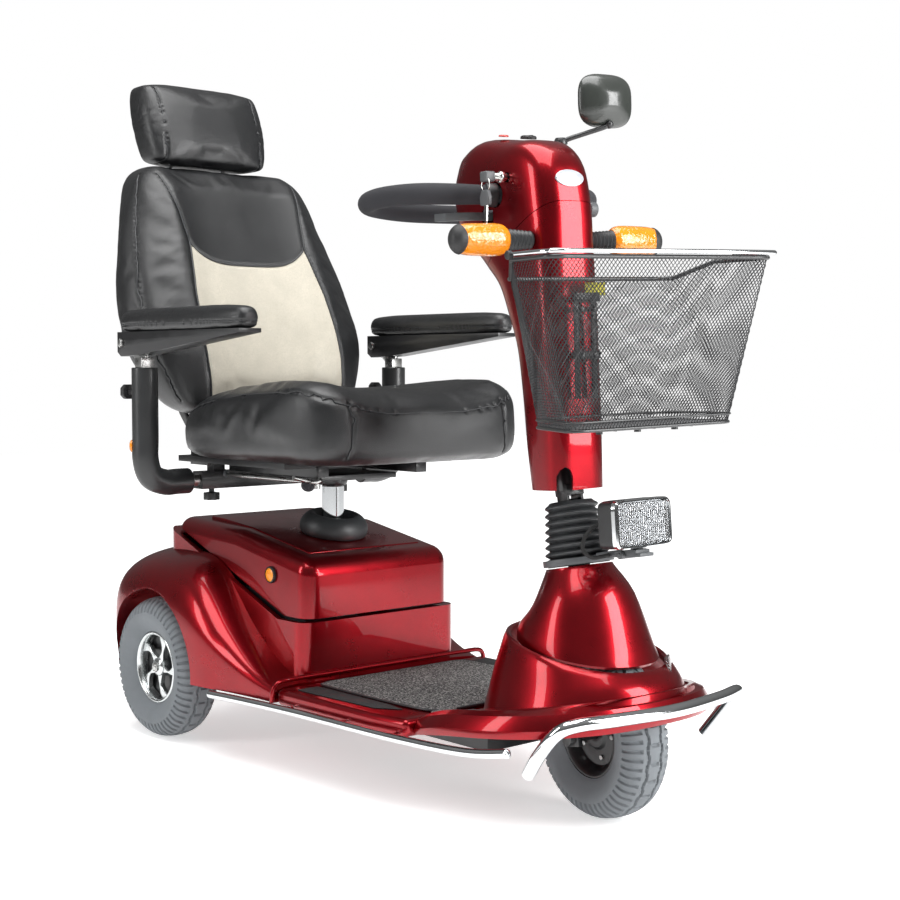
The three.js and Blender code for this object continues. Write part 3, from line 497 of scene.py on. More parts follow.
# name: base colour, darkest drift of the colour, roughness low and high, metallic, coat,
# kind of grain, its scale and its height
FINISHES = {
    "tyre_rubber": ((0.16, 0.175, 0.188), 0.84, 0.62, 0.8, 0.0, 0.0, "Fine Grain", 500, 0.15),
    "rim_silver": ((0.62, 0.64, 0.64), 0.9, 0.16, 0.3, 1.0, 0.0, "Fine Grain", 300, 0.02),
    "black_powder_coat": ((0.012, 0.012, 0.013), 0.7, 0.3, 0.5, 0.0, 0.15, "Fine Grain", 700, 0.12),
    "black_moulding": ((0.016, 0.016, 0.017), 0.75, 0.42, 0.6, 0.0, 0.0, "Fine Grain", 1100, 0.2),
    "satin_tube": ((0.02, 0.021, 0.022), 0.8, 0.3, 0.42, 0.0, 0.1, "Fine Grain", 900, 0.06),
    "grey_moulding": ((0.085, 0.09, 0.095), 0.85, 0.4, 0.55, 0.0, 0.0, "Fine Grain", 1100, 0.15),
    "bellows_rubber": ((0.028, 0.03, 0.032), 0.75, 0.38, 0.52, 0.0, 0.0, "Fine Grain", 800, 0.1),
    "grip_foam": ((0.018, 0.019, 0.02), 0.8, 0.45, 0.6, 0.0, 0.0, "Fine Grain", 1400, 0.3),
    "chrome": ((0.72, 0.74, 0.75), 0.94, 0.05, 0.12, 1.0, 0.0, "Fine Grain", 200, 0.01),
    "zinc_steel": ((0.5, 0.5, 0.49), 0.85, 0.22, 0.38, 1.0, 0.0, "Fine Grain", 600, 0.05),
    "cast_silver": ((0.45, 0.46, 0.47), 0.85, 0.35, 0.5, 0.9, 0.0, "Fine Grain", 500, 0.15),
    "battery_case": ((0.02, 0.021, 0.025), 0.8, 0.4, 0.55, 0.0, 0.0, "Fine Grain", 700, 0.2),
    "rim_black": ((0.01, 0.01, 0.011), 0.7, 0.3, 0.45, 0.0, 0.2, "Fine Grain", 700, 0.1),
    "tread_strip": ((0.022, 0.023, 0.024), 0.6, 0.6, 0.85, 0.0, 0.0, "Fine Grain", 420, 0.7),
    "horn_red": ((0.45, 0.02, 0.015), 0.85, 0.25, 0.35, 0.0, 0.3, "Fine Grain", 600, 0.05),
    "reflector_amber": ((0.75, 0.1, 0.02), 0.7, 0.15, 0.3, 0.0, 0.6, "Leather Grain", 330, 0.6),
    "tail_red": ((0.4, 0.01, 0.01), 0.7, 0.15, 0.3, 0.0, 0.6, "Leather Grain", 330, 0.4),
    "badge_blank": ((0.5, 0.52, 0.56), 0.95, 0.15, 0.25, 0.3, 0.8, "Fine Grain", 300, 0.01),
    "label_yellow": ((0.8, 0.72, 0.05), 0.9, 0.4, 0.5, 0.0, 0.0, "Fine Grain", 300, 0.02),
    "mesh_wire": ((0.02, 0.021, 0.023), 0.7, 0.28, 0.42, 0.3, 0.1, "Fine Grain", 900, 0.05),
    "lamp_mirror": ((0.82, 0.84, 0.86), 0.95, 0.05, 0.12, 1.0, 0.0, "Leather Grain", 120, 0.25),
    "looking_glass": ((0.8, 0.83, 0.85), 0.98, 0.01, 0.03, 1.0, 0.0, "Fine Grain", 50, 0.0),
    "piping": ((0.014, 0.015, 0.017), 0.8, 0.4, 0.5, 0.0, 0.1, "Fine Grain", 900, 0.1),
    "cable_sheath": ((0.015, 0.015, 0.016), 0.8, 0.4, 0.5, 0.0, 0.1, "Fine Grain", 900, 0.1),
    "key_metal_finish": ((0.6, 0.6, 0.58), 0.85, 0.2, 0.35, 1.0, 0.0, "Fine Grain", 600, 0.05),
    "mirror_plastic": ((0.03, 0.034, 0.03), 0.8, 0.24, 0.36, 0.0, 0.35, "Fine Grain", 900, 0.06),
    "studio_floor": ((0.94, 0.94, 0.94), 0.985, 0.5, 0.6, 0.0, 0.0, "Fine Grain", 60, 0.01),
}


DRIFT_SCALE, GLOSS_SCALE = 14.0, 22.0
GRAIN_DEPTH = 0.0006
COAT_ROUGHNESS, PAINT_COAT_ROUGHNESS = 0.08, 0.03
FLAKE_SCALE, FLAKE_BRIGHTNESS = 1800.0, 1.15
# painted shade: the creases of the upholstery grain are darkened to this share of the colour
PAINTED_CREASE_SHADE = 0.6
VINYL_SPECULAR = 0.55
CARPET_SCALE = 300.0
CARPET_DARK, CARPET_FLECK = (0.018, 0.018, 0.019, 1), (0.29, 0.28, 0.27, 1)
LENS_IOR = 1.45


def plain_finish(name, row=None):
    """A material from one row laid out as in FINISHES."""
    base, drift, low, high, metallic, coat, grain, size, height = row or FINISHES[name]
    made = bpy.data.materials.new(name)
    made.use_nodes = True
    tree = made.node_tree
    surface = tree.nodes["Principled BSDF"]
    surface.inputs["Metallic"].default_value = metallic
    surface.inputs["Coat Weight"].default_value = coat
    surface.inputs["Coat Roughness"].default_value = COAT_ROUGHNESS
    shades = {"Colour": shade(base, 1.0), "Other_Colour": shade(base, drift)}
    colour = effect(tree, "Colour Drift", Scale=DRIFT_SCALE, **shades)
    gloss = effect(tree, "Worn Gloss", Low=low, High=high, Scale=GLOSS_SCALE)
    relief = effect(tree, grain, Scale=float(size))
    raised = relief.outputs["Height"]
    bump = linked(tree, "ShaderNodeBump", Strength=height, Distance=GRAIN_DEPTH, Height=raised)
    tree.links.new(colour.outputs["Colour"], surface.inputs["Base Color"])
    tree.links.new(gloss.outputs["Roughness"], surface.inputs["Roughness"])
    tree.links.new(bump.outputs["Normal"], surface.inputs["Normal"])
    return made, tree, surface, colour, relief


def red_paint():
    rgb = tuple(bpy.context.scene.scooter_colours.body)
    row = (rgb, 0.82, 0.26, 0.33, 0.88, 0.42, "Fine Grain", 60, 0.004)
    made, tree, surface, colour, _ = plain_finish("red_paint", row)
    spark = shade(rgb, FLAKE_BRIGHTNESS)
    under = colour.outputs["Colour"]
    flake = effect(tree, "Paint Flake", Flake_Colour=spark, Scale=FLAKE_SCALE, Colour=under)
    tree.links.new(flake.outputs["Colour"], surface.inputs["Base Color"])
    surface.inputs["Coat Roughness"].default_value = PAINT_COAT_ROUGHNESS
    return made


def upholstery(name, rgb, scale, low, high):
    """Grained sheet with painted shade darkening the creases of its grain."""
    row = (rgb, 0.78, low, high, 0.0, 0.05, "Leather Grain", scale, 0.25)
    made, tree, surface, colour, relief = plain_finish(name, row)
    # painted shade: a darker copy of the colour is laid into the creases of the grain
    crease_shadow_colour = shade(rgb, PAINTED_CREASE_SHADE)
    grain_with_painted_shade = mixed_colour(tree, relief.outputs["Mask"], crease_shadow_colour, colour.outputs["Colour"])
    tree.links.new(grain_with_painted_shade, surface.inputs["Base Color"])
    surface.inputs["Specular IOR Level"].default_value = VINYL_SPECULAR
    return made


def carpet():
    row = ((0.05, 0.05, 0.05), 0.8, 0.85, 0.97, 0.0, 0.0, "Fine Grain", 350, 1.0)
    made, tree, surface, _, _ = plain_finish("floor_carpet", row)
    colours = {"Colour": CARPET_DARK, "Fleck_Colour": CARPET_FLECK}
    speckle = effect(tree, "Carpet Speckle", Scale=CARPET_SCALE, **colours)
    tree.links.new(speckle.outputs["Colour"], surface.inputs["Base Color"])
    return made


def clear_lens(name, tint, roughness, scale, clearness, relief):
    """Clear or tinted moulded plastic with a prismatic inside."""
    row = (tint, 0.86, roughness, roughness + 0.08, 0.0, 0.7, "Leather Grain", scale, relief)
    made, _, surface, _, _ = plain_finish(name, row)
    surface.inputs["Transmission Weight"].default_value = clearness
    surface.inputs["IOR"].default_value = LENS_IOR
    return made


def material(name):
    """The finished material of that name, built when it is first asked for."""
    found = bpy.data.materials.get(name)
    if found:
        return found
    colours = bpy.context.scene.scooter_colours
    special = {
        "red_paint": red_paint,
        "black_vinyl": lambda: upholstery(name, tuple(colours.vinyl), 480, 0.3, 0.42),
        "beige_panel": lambda: upholstery(name, tuple(colours.panel), 800, 0.72, 0.9),
        "floor_carpet": carpet,
        "amber_lens": lambda: clear_lens(name, tuple(colours.indicator), 0.08, 110, 0.12, 1.0),
        "clear_glass": lambda: clear_lens(name, (0.97, 0.98, 0.99), 0.01, 60, 0.96, 0.06),
    }
    return special[name]() if name in special else plain_finish(name)[0]


# ------------------------------------------------------------------ padded pieces
CLOTH_STEPS = 20


def puffed(obj, cap, voxel=6.0, pressure=4.0):
    """Swells a pad with the cloth solver; no point moves further than the cap, in millimetres."""
    applied(obj, ("REMESH", {"mode": "VOXEL", "voxel_size": voxel * MM}))
    start = [v.co.copy() for v in obj.data.vertices]
    cloth = obj.modifiers.new("Cloth", "CLOTH").settings
    cloth.quality = 3
    cloth.use_pressure = True
    cloth.uniform_pressure_force = pressure
    cloth.effector_weights.gravity = 0
    for step in range(1, CLOTH_STEPS + 1):
        bpy.context.scene.frame_set(step)
    applied(obj)
    bpy.context.scene.frame_set(1)
    for vertex, before in zip(obj.data.vertices, start):
        moved = vertex.co - before
        if moved.length > cap * MM:
            vertex.co = before + moved.normalized() * cap * MM
    applied(obj, ("SMOOTH", {"factor": 0.5, "iterations": 6}))
    return softened(obj)


def surface_of(obj):
    return BVHTree.FromObject(obj, bpy.context.evaluated_depsgraph_get())


def laid_on(obj, line, gap=0.0):
    """A line of points in metres moved onto the nearest skin of obj."""
    skin = surface_of(obj)
    placed = []
    for point in line:
        spot, normal, _, _ = skin.find_nearest(point)
        placed.append(spot + normal * gap)
    return placed


def pressed_seam(obj, line, width=7.0, depth=2.5):
    """Sinks the skin of a pad in a soft groove along a line of points in metres."""
    tree = KDTree(len(line))
    for i, point in enumerate(line):
        tree.insert(point, i)
    tree.balance()
    normals = [v.normal.copy() for v in obj.data.vertices]
    for vertex, normal in zip(obj.data.vertices, normals):
        distance = tree.find(vertex.co)[2]
        if distance < width * MM:
            near = 1 - (distance / (width * MM)) ** 2
            vertex.co = vertex.co - normal * depth * MM * near * near
    return obj


def seam_piping(name, line, node, radius):
    """A thin sewn welt along a line of points in metres."""
    points = [tuple(p / MM) for p in line]
    piece = mesh_object(name, tube(points, radius, 8, 1), Matrix.Scale(MM, 4))
    return finished(piece, "piping", node=node)


def dense(points, step=4.0):
    """Evenly spaced points in metres along a smooth line given in millimetres."""
    rows = between([tuple(p) for p in points], 10)
    made = [STRAIGHT @ Vector(rows[0])]
    for row in rows[1:]:
        point = STRAIGHT @ Vector(row)
        if (point - made[-1]).length > step * MM:
            made.append(point)
    return made


# ------------------------------------------------------------------ adjustable values
def colour_setting(name, description, default):
    values = {"name": name, "description": description, "default": default}
    return bpy.props.FloatVectorProperty(size=3, min=0, max=1, subtype="COLOR", **values)


def length_setting(name, description, default, low, high):
    values = {"name": name, "description": description, "default": default}
    return bpy.props.FloatProperty(min=low, max=high, unit="LENGTH", **values)


class ScooterColours(bpy.types.PropertyGroup):
    body: colour_setting("Body", "Colour of the painted bodywork", (0.26, 0.001, 0.006))
    vinyl: colour_setting("Vinyl", "Colour of the seat vinyl", (0.012, 0.0125, 0.0135))
    panel: colour_setting("Back panel", "Colour of the fabric in the backrest", (0.57, 0.53, 0.44))
    indicator: colour_setting("Indicators", "Colour of the indicator lenses", (0.85, 0.27, 0.008))


class ScooterSizes(bpy.types.PropertyGroup):
    tread_depth: length_setting(
        "Tread depth", "Depth of the grooves in the tyres", 0.004, 0, 0.006
    )
    seat_swell: length_setting(
        "Seat swell", "Furthest that the seat padding may swell", 0.010, 0, 0.03
    )
    basket_wire: length_setting(
        "Basket wire", "Radius of the thin wires in the basket walls", 0.0006, 0.0004, 0.002
    )
    bellows_folds: bpy.props.IntProperty(
        name="Bellows folds",
        description="Number of folds in the rubber bellows",
        default=7,
        min=3,
        max=10,
    )


# ------------------------------------------------------------------ wheels
TRACK_HALF = 218.0
TYRE_SEGMENTS = 336
SPOKES = 5


def spread_round(count, radius=1.0):
    """Evenly spaced angles with the point each has on a circle."""
    for k in range(count):
        t = 2 * math.pi * k / count
        yield t, radius * math.cos(t), radius * math.sin(t)


def tyre_shape(depth):
    """A tyre round the Y axis with notched shoulders and a zigzag block crown."""
    half = [(130, 0), (129.6, 8), (128.4, 16), (126, 24), (121.5, 31), (115, 37)]
    half += [(107, 40.6), (98, 41.6), (88, 39), (79, 34.5), (72, 30.5), (67, 26.5)]
    outer = between([(r, y) for r, y in half], 4)
    profile = [(r, -y) for r, y in reversed(outer[1:])] + outer
    verts, faces = lathe(profile + [profile[0]], TYRE_SEGMENTS)
    for index, vertex in enumerate(verts):
        i, k = divmod(index, len(profile))
        radius, y = profile[k]
        phase = i % 6
        zigzag = 10 + 4 * abs((i % 12) - 6) / 6
        cut = 0.0
        if radius > 104 and 22 < abs(y) and phase in (0, 1):
            cut = depth
        elif radius > 120 and abs(abs(y) - zigzag) < 1.9:
            cut = depth
        elif radius > 120 and abs(y) < 8 and (i + 3) % 12 in (0, 1):
            cut = depth * 0.8
        if cut:
            spoke = Vector((vertex.x, 0, vertex.z)).normalized()
            lean = min(1.0, max(0.0, (abs(y) - 24) / 16))
            inward = spoke * (1 - 0.6 * lean) + Vector((0, math.copysign(0.6 * lean, y), 0))
            vertex -= inward * cut
    return verts, faces


class SCOOTER_OT_tyres(bpy.types.Operator):
    """Build the three grey tyres"""

    bl_idname = "scooter.tyres"
    bl_label = "Tyres"

    def execute(self, context):
        depth = context.scene.scooter_sizes.tread_depth / MM
        places = {
            "tyre_rear_right": STRAIGHT @ Matrix.Translation((0, -TRACK_HALF, WHEEL_R)),
            "tyre_rear_left": STRAIGHT @ Matrix.Translation((0, TRACK_HALF, WHEEL_R)),
            "tyre_front": STEERED @ Matrix.Translation(AXLE_POINT),
        }
        for node, place in places.items():
            tyre = mesh_object(node + "_tread", tyre_shape(depth), place)
            finished(tyre, "tyre_rubber", stands_for=(node,), angle=38)
        return {"FINISHED"}


def spoke_outline(count=12):
    """One curved spoke, seen from the side, from the hub to the ring."""
    left, right = [], []
    for i in range(count + 1):
        t = i / count
        radius = 14 + 46 * t
        bend = 0.16 - 0.5 * (t - 0.25) ** 2
        width = 7.5 - 5.0 * math.sin(math.pi * min(1, 1.15 * t)) ** 2 + 3.0 * t**3
        half = width / radius
        for side, row in ((1, left), (-1, right)):
            angle = bend + side * half
            row.append((radius * math.cos(angle), radius * math.sin(angle)))
    return left + right[::-1]


class SCOOTER_OT_rims(bpy.types.Operator):
    """Build the spoked rear rims and the plain front rim"""

    bl_idname = "scooter.rims"
    bl_label = "Rims"

    def execute(self, context):
        dish = [(9, -12), (20, -12), (26, -4), (52, -6), (59, -20), (65.5, -24)]
        dish += [(66.2, -26), (66.2, 22), (61, 20), (57, 6), (26, 3), (9, 3), (9, -12)]
        ring = [(56.5, 8), (58.5, 17), (59.5, 24), (62, 27.5), (65.5, 27.5), (67, 25)]
        ring += [(66.4, 20), (60, 6), (56.5, 8)]
        shaft = [(0, -113), (9, -113), (9, -12), (0, -12)]
        hub = [(0, 24), (12, 24), (17, 21), (19, 12), (19, 3), (0, 3)]
        for name, side in SIDES:
            node = f"rim_rear_{name}"
            place = STRAIGHT @ Matrix.Translation((0, side * TRACK_HALF, WHEEL_R))
            if side < 0:
                place = place @ Matrix.Rotation(math.pi, 4, "X")
            piece(node + "_dish", lathe(dish, 96), "rim_black", place, stands_for=(node,))
            bright = [lathe(ring, 96), lathe(hub, 48)]
            for t, _, _ in spread_round(SPOKES):
                turn = Matrix.Rotation(t, 4, "Y")
                spoke, faces = prism(spoke_outline(), 10, 20)
                crowned = [v - Vector((0, 0.0024 * (v.xz.length - 38) ** 2, 0)) for v in spoke]
                bright.append(([turn @ v for v in crowned], faces))
            face = bevelled(mesh_object(node + "_spokes", merged(*bright), place), 1.6, 3, 40)
            finished(face, "rim_silver", node=node)
            steel = merged(
                lathe(shaft, 32),
                prism(oval(10, 10, 2, 6), 22, 28),
                lathe([(0, 30.5), (5, 30), (6.5, 28), (0, 28)], 24),
            )
            piece(node + "_shaft", steel, "zinc_steel", place, bevel=(0.6, 2, 40), node=node)
        place = STEERED @ Matrix.Translation(AXLE_POINT)
        half = [(9.3, -14), (22, -14), (26, -8), (50, -8), (56, -20), (63, -25), (66.3, -26)]
        barrel = half + [(r, -y) for r, y in reversed(half)] + half[:1]
        rim = mesh_object("rim_front_barrel", lathe(barrel, 96), place)
        finished(bevelled(rim, 1, 2, 30), "rim_black", stands_for=("rim_front",))
        bolts = []
        for _, x, z in spread_round(SPOKES, 38):
            bolts += [rod(4, low, low + 4, at=(x, 0, z), sides=6) for low in (7, -11)]
        heads = mesh_object("rim_front_bolts", merged(*bolts), place)
        finished(bevelled(heads, 0.4, 1, 40), "zinc_steel", node="rim_front")
        return {"FINISHED"}


# ------------------------------------------------------------------ drive and frame
class SCOOTER_OT_drive(bpy.types.Operator):
    """Dress the drive unit, the batteries, the controller and the frame"""

    bl_idname = "scooter.drive"
    bl_label = "Drive and Frame"

    def execute(self, context):
        from_frame("transaxle", "drive_unit", "cast_silver", 2.0)
        from_frame("battery_right", "battery_box_right", "battery_case", 3.0)
        from_frame("battery_left", "battery_box_left", "battery_case", 3.0)
        from_frame("controller_box", "control_unit", "cast_silver", 2.5)
        from_frame("chassis_frame", "main_frame", "black_powder_coat", 1.2)
        from_frame("steering_fork", "front_fork", "black_powder_coat", 1.2)
        from_frame("tiller_column", "inner_column", "black_powder_coat")
        return {"FINISHED"}


# ------------------------------------------------------------------ rear bodywork
# x, half width and height of the fenders, from the tail forwards
FENDER_STATIONS = [(-150, 222, 290), (-143, 243, 318), (-110, 256, 338), (-50, 262, 350)]
FENDER_STATIONS += [(30, 262, 353), (90, 262, 344), (140, 261, 318), (180, 257, 282)]
FENDER_STATIONS += [(220, 250, 240), (270, 243, 200), (320, 238, 170), (370, 235, 151)]
SHELL_BOTTOM = 122.0
TIER_HALF = 176.0
COVER_HALF = 164.0
LOWER_TIER = [(-60, 300), (372, 130), (372, 249), (296, 249), (-60, 384)]
COVER_SIDE = [(366, 200), (366, 354), (150, 392), (-56, 404), (-56, 200)]
COVER_EDGE = [(400, 254), (400, 500), (-100, 500), (-100, 406.3), (300, 254)]
SEAT_X = 225.0
BOOT_Z = 379.3
COVER_SLOPE = math.atan2(38, 216)


def arch_ring(x, w, top, bottom, power=4, count=57):
    """One station across the bodywork: a flat-bottomed arch."""
    spring = bottom + (top - bottom) * 0.3
    ring = [(x, w, bottom)]
    for i in range(count):
        t = math.pi * i / (count - 1)
        c = math.cos(t)
        y = w * math.copysign(abs(c) ** (2 / power), c)
        ring.append((x, y, spring + (top - spring) * max(0.0, math.sin(t)) ** (2 / power)))
    ring.append((x, -w, bottom))
    return ring


def fender_shape(inset, bottom):
    rows = between(FENDER_STATIONS, 5)
    rings = []
    for i, (x, w, top) in enumerate(rows):
        shift = inset if i == 0 else -inset if i == len(rows) - 1 else 0
        rings.append(arch_ring(x + shift, w - inset, top - inset, bottom))
    return loft(rings)


def solid(shape, width=0.0, segments=4, matrix=STRAIGHT):
    """A construction solid, with its edges rounded before it is used."""
    obj = mesh_object("construction", shape, matrix)
    return bevelled(obj, width, segments) if width else obj


def outwards(side, near, far):
    """Two distances from the middle as y values on one side, the lower first."""
    return sorted((side * near, side * far))


class SCOOTER_OT_rear_body(bpy.types.Operator):
    """Build the rear fenders and the lower tier of the seat box"""

    bl_idname = "scooter.rear_body"
    bl_label = "Rear Body"

    def execute(self, context):
        body = mesh_object("rear_bodywork", fender_shape(0, SHELL_BOTTOM), STRAIGHT)
        tier = solid(block(-64, 372, -TIER_HALF, TIER_HALF, 60, 500), 28, 8)
        carved(tier, solid(prism(LOWER_TIER, -TIER_HALF - 9, TIER_HALF + 9)), operation="INTERSECT")
        carved(body, tier, operation="UNION")
        inner_tier = [(-56, 377), (295, 245), (400, 245), (400, 110), (-56, 110)]
        hollow = solid(fender_shape(4, SHELL_BOTTOM - 20))
        room = solid(block(-60, 368, -TIER_HALF + 4, TIER_HALF - 4, 60, 500), 25, 6)
        carved(room, solid(prism(inner_tier, -TIER_HALF, TIER_HALF)), operation="INTERSECT")
        carved(hollow, room, operation="UNION")
        wells = [rod(151, *outwards(s, 166, 300), at=(0, 0, WHEEL_R), sides=72) for _, s in SIDES]
        carved(hollow, *[solid(well) for well in wells])
        cutters = [hollow]
        for _, s in SIDES:
            arch = rod(147, *outwards(s, 170, 300), at=(0, 0, WHEEL_R), sides=96)
            cutters.append(solid(arch))
            cutters.append(solid(block(-17, 17, *outwards(s, 160, 180), 100, 149)))
        cutters.append(solid(block(-30, 350, -166, 166, 200, 420)))
        carved(body, *cutters)
        finished(body, "red_paint", stands_for=("rear_body_shell",), angle=24)
        lip = []
        for _, s in SIDES:
            arch = []
            for i in range(49):
                t = math.radians(2 + 122 * i / 48)
                arch.append((149 * math.cos(t), s * 258, WHEEL_R + 149 * math.sin(t)))
            lip.append(tube(self.on_fender(arch, s), 2.6, 10, 1))
        piece("rear_arch_lips", merged(*lip), "red_paint", node="rear_body_shell")
        hoop = [(372, -242, 124), (373, -241, 140), (374, -236, 152)]
        hoop += [(375, -222, 158), (376, -180, 159)]
        path = mirrored(hoop, (376, 0, 159))
        piece("deck_joint_welt", tube(path, 4.2, 14, 8), "red_paint", node="rear_body_shell")
        for name, s in SIDES:
            outline = [(y + s * 196, z + 262) for y, z in oval(20, 11, 3, 32)]
            lamp = mesh_object(f"tail_lamp_{name}", prism(outline, -153, -148, "X"), STRAIGHT)
            finished(bevelled(lamp, 1.5, 3), "tail_red", node="rear_body_shell")
        return {"FINISHED"}

    @staticmethod
    def on_fender(points, side):
        """Moves points sideways onto the skin of the fender."""
        placed = []
        rows = between(FENDER_STATIONS, 5)
        for x, _, z in points:
            row = min(rows, key=lambda r: abs(r[0] - x))
            spring = SHELL_BOTTOM + (row[2] - SHELL_BOTTOM) * 0.3
            rise = max(0.0, min(1.0, (z - spring) / (row[2] - spring)))
            placed.append((x, side * (row[1] * (1 - rise**4) ** 0.25 - 2.5), z))
        return placed


class SCOOTER_OT_battery_cover(bpy.types.Operator):
    """Build the battery cover with its raised top"""

    bl_idname = "scooter.battery_cover"
    bl_label = "Battery Cover"

    def execute(self, context):
        cover = mesh_object("seat_box_cover", prism(COVER_SIDE, -COVER_HALF, COVER_HALF), STRAIGHT)
        bevelled(cover, 28, 8)
        edge = solid(prism(COVER_EDGE, -COVER_HALF - 9, COVER_HALF + 9))
        carved(cover, edge, operation="INTERSECT")
        plateau = [(322, 340), (322, 363.6), (150, 394.2), (60, 403.4), (12, 406.2), (12, 380)]
        carved(cover, solid(prism(plateau, -126, 126), 3, 3), operation="UNION")
        inner = [(362, 150), (362, 350), (150, 387), (-50, 398), (-50, 150)]
        carved(
            cover,
            solid(prism(inner, -COVER_HALF + 4, COVER_HALF - 4), 25, 6),
            solid(rod(31, 330, 430, "Z", (SEAT_X, 0, 0), 48)),
        )
        finished(cover, "red_paint", stands_for=("battery_cover",), angle=24)
        return {"FINISHED"}


class SCOOTER_OT_post_boot(bpy.types.Operator):
    """Build the rubber boot round the seat post"""

    bl_idname = "scooter.post_boot"
    bl_label = "Seat Post Boot"

    def execute(self, context):
        place = STRAIGHT @ Matrix.Translation((SEAT_X, 0, BOOT_Z))
        place = place @ Matrix.Rotation(COVER_SLOPE, 4, "Y")
        profile = [(21, 2), (42, 1.5), (56, 1.5), (61, 5), (63, 13), (61.5, 23), (56, 32), (49, 38)]
        profile += [(43, 40), (38, 38), (34, 32), (30, 24), (24, 18), (21, 14), (21, 2)]
        smooth = between(profile, 4)
        smooth[-1] = smooth[0]
        boot = mesh_object("post_boot_rubber", lathe(smooth, 72, "Z"), place)
        finished(boot, "bellows_rubber", stands_for=("seat_post_boot",), angle=50)
        return {"FINISHED"}


class SCOOTER_OT_reflectors(bpy.types.Operator):
    """Build the round side reflectors and the clear front reflector"""

    bl_idname = "scooter.reflectors"
    bl_label = "Reflectors"

    def execute(self, context):
        for name, side in SIDES:
            node = f"side_reflector_{name}"
            place = STRAIGHT @ Matrix.Translation((262, side * COVER_HALF, 322))
            if side < 0:
                place = place @ Matrix.Rotation(math.pi, 4, "X")
            ring = [(12.2, 0.3), (15, 0.3), (15, 3), (14, 5), (12.2, 5.6), (12.2, 0.3)]
            lens = [(0, 0.4), (12, 0.4), (12, 4.4), (9, 6.2), (0, 7)]
            piece(node + "_bezel", lathe(ring, 48), "black_moulding", place, stands_for=(node,))
            piece(node + "_lens", lathe(lens, 48), "reflector_amber", place, node=node)
        place = STRAIGHT @ Matrix.Translation((975, 66, 234))
        place = place @ Matrix.Rotation(0.62, 4, "Z") @ Matrix.Rotation(-0.3, 4, "Y")
        plate = mesh_object("front_reflector", prism(oval(24, 15, 5, 40), 0, 6, "X"), place)
        bevelled(plate, 2, 3)
        finished(plate, "clear_glass", node="front_shroud_lower", slot="lamp_lens")
        return {"FINISHED"}


# ------------------------------------------------------------------ deck and front bodywork
DECK_Z = 146.0
MAT_TOP = 151.0
PAN_SPLIT = 700.0
VISOR = (796, 237, 216, 2.5)
SKIRT = (864, 155, 152)
VISOR_DROP = 13.0


def deck_outline(inset):
    half = 230 - inset
    back, front = 374 + inset, PAN_SPLIT - 0.4 - inset
    side = [(back, -half - 4), (480, -half - 2), (620, -half), (front, -half + 8)]
    return side + [(x, -y) for x, y in reversed(side)]


class SCOOTER_OT_deck(bpy.types.Operator):
    """Build the footboard, its mat and its grip strips"""

    bl_idname = "scooter.deck"
    bl_label = "Footboard"

    def execute(self, context):
        pan = mesh_object("footboard_pan", prism(deck_outline(0), 118, DECK_Z, "Z"), STRAIGHT)
        bevelled(pan, 9, 5, 50)
        carved(pan, solid(prism(deck_outline(5), 100, DECK_Z - 4, "Z")))
        finished(pan, "red_paint", stands_for=("floor_pan",), angle=24)
        corner = [(398, -144), (404, -156), (420, -166), (560, -166), (660, -160)]
        corner = between(corner + [(690, -146), (698, -128)], 4)
        plan = corner + [(x, -y) for x, y in reversed(corner)]
        mat = mesh_object("floor_mat_carpet", prism(plan, DECK_Z + 0.4, MAT_TOP, "Z"), STRAIGHT)
        finished(bevelled(mat, 1.6, 3, 40), "floor_carpet", stands_for=("floor_mat",))
        edge = [(x, y, 149.2) for x, y in plan]
        piece("floor_mat_binding", tube(edge, 2.1, 8, 1, closed=True), "piping", node="floor_mat")
        strips = []
        for _, s in SIDES:
            outline = [(410, 174), (430, 172), (600, 172), (640, 178), (600, 205), (440, 214)]
            outline = [(x, s * y) for x, y in outline + [(408, 214)]]
            strips.append(prism(outline, DECK_Z + 0.2, DECK_Z + 2, "Z"))
        piece("step_grip_strips", merged(*strips), "tread_strip", bevel=(0.7, 2), node="floor_mat")
        return {"FINISHED"}


def rings_between(rings, steps):
    """More rings between the given ones, smoothly."""
    columns = [between([ring[i] for ring in rings], steps) for i in range(len(rings[0]))]
    return [[column[r] for column in columns] for r in range(len(columns[0]))]


def mirrored(half, middle):
    """A path from the right side over the middle point to the same points on the left."""
    return half + [middle] + [(x, -y, z) for x, y, z in reversed(half)]


def walled(outer, inner):
    """A closed shell: outer rings upwards, then inner rings downwards."""
    rings = list(outer) + list(reversed(inner))
    verts, faces = loft(rings, caps=False)
    n, last = len(rings[0]), (len(rings) - 1) * len(rings[0])
    faces += [(last + i, last + (i + 1) % n, (i + 1) % n, i) for i in range(n)]
    return verts, faces


def axis_ring(radius, s, count=96):
    """A round ring about the steering axis, with the bars straight ahead."""
    place = Matrix.Translation(AXLE_POINT) @ Matrix.Rotation(-RAKE, 4, "Y")
    return [tuple(place @ Vector((u, v, s))) for u, v in oval(radius, radius, 2, count)]


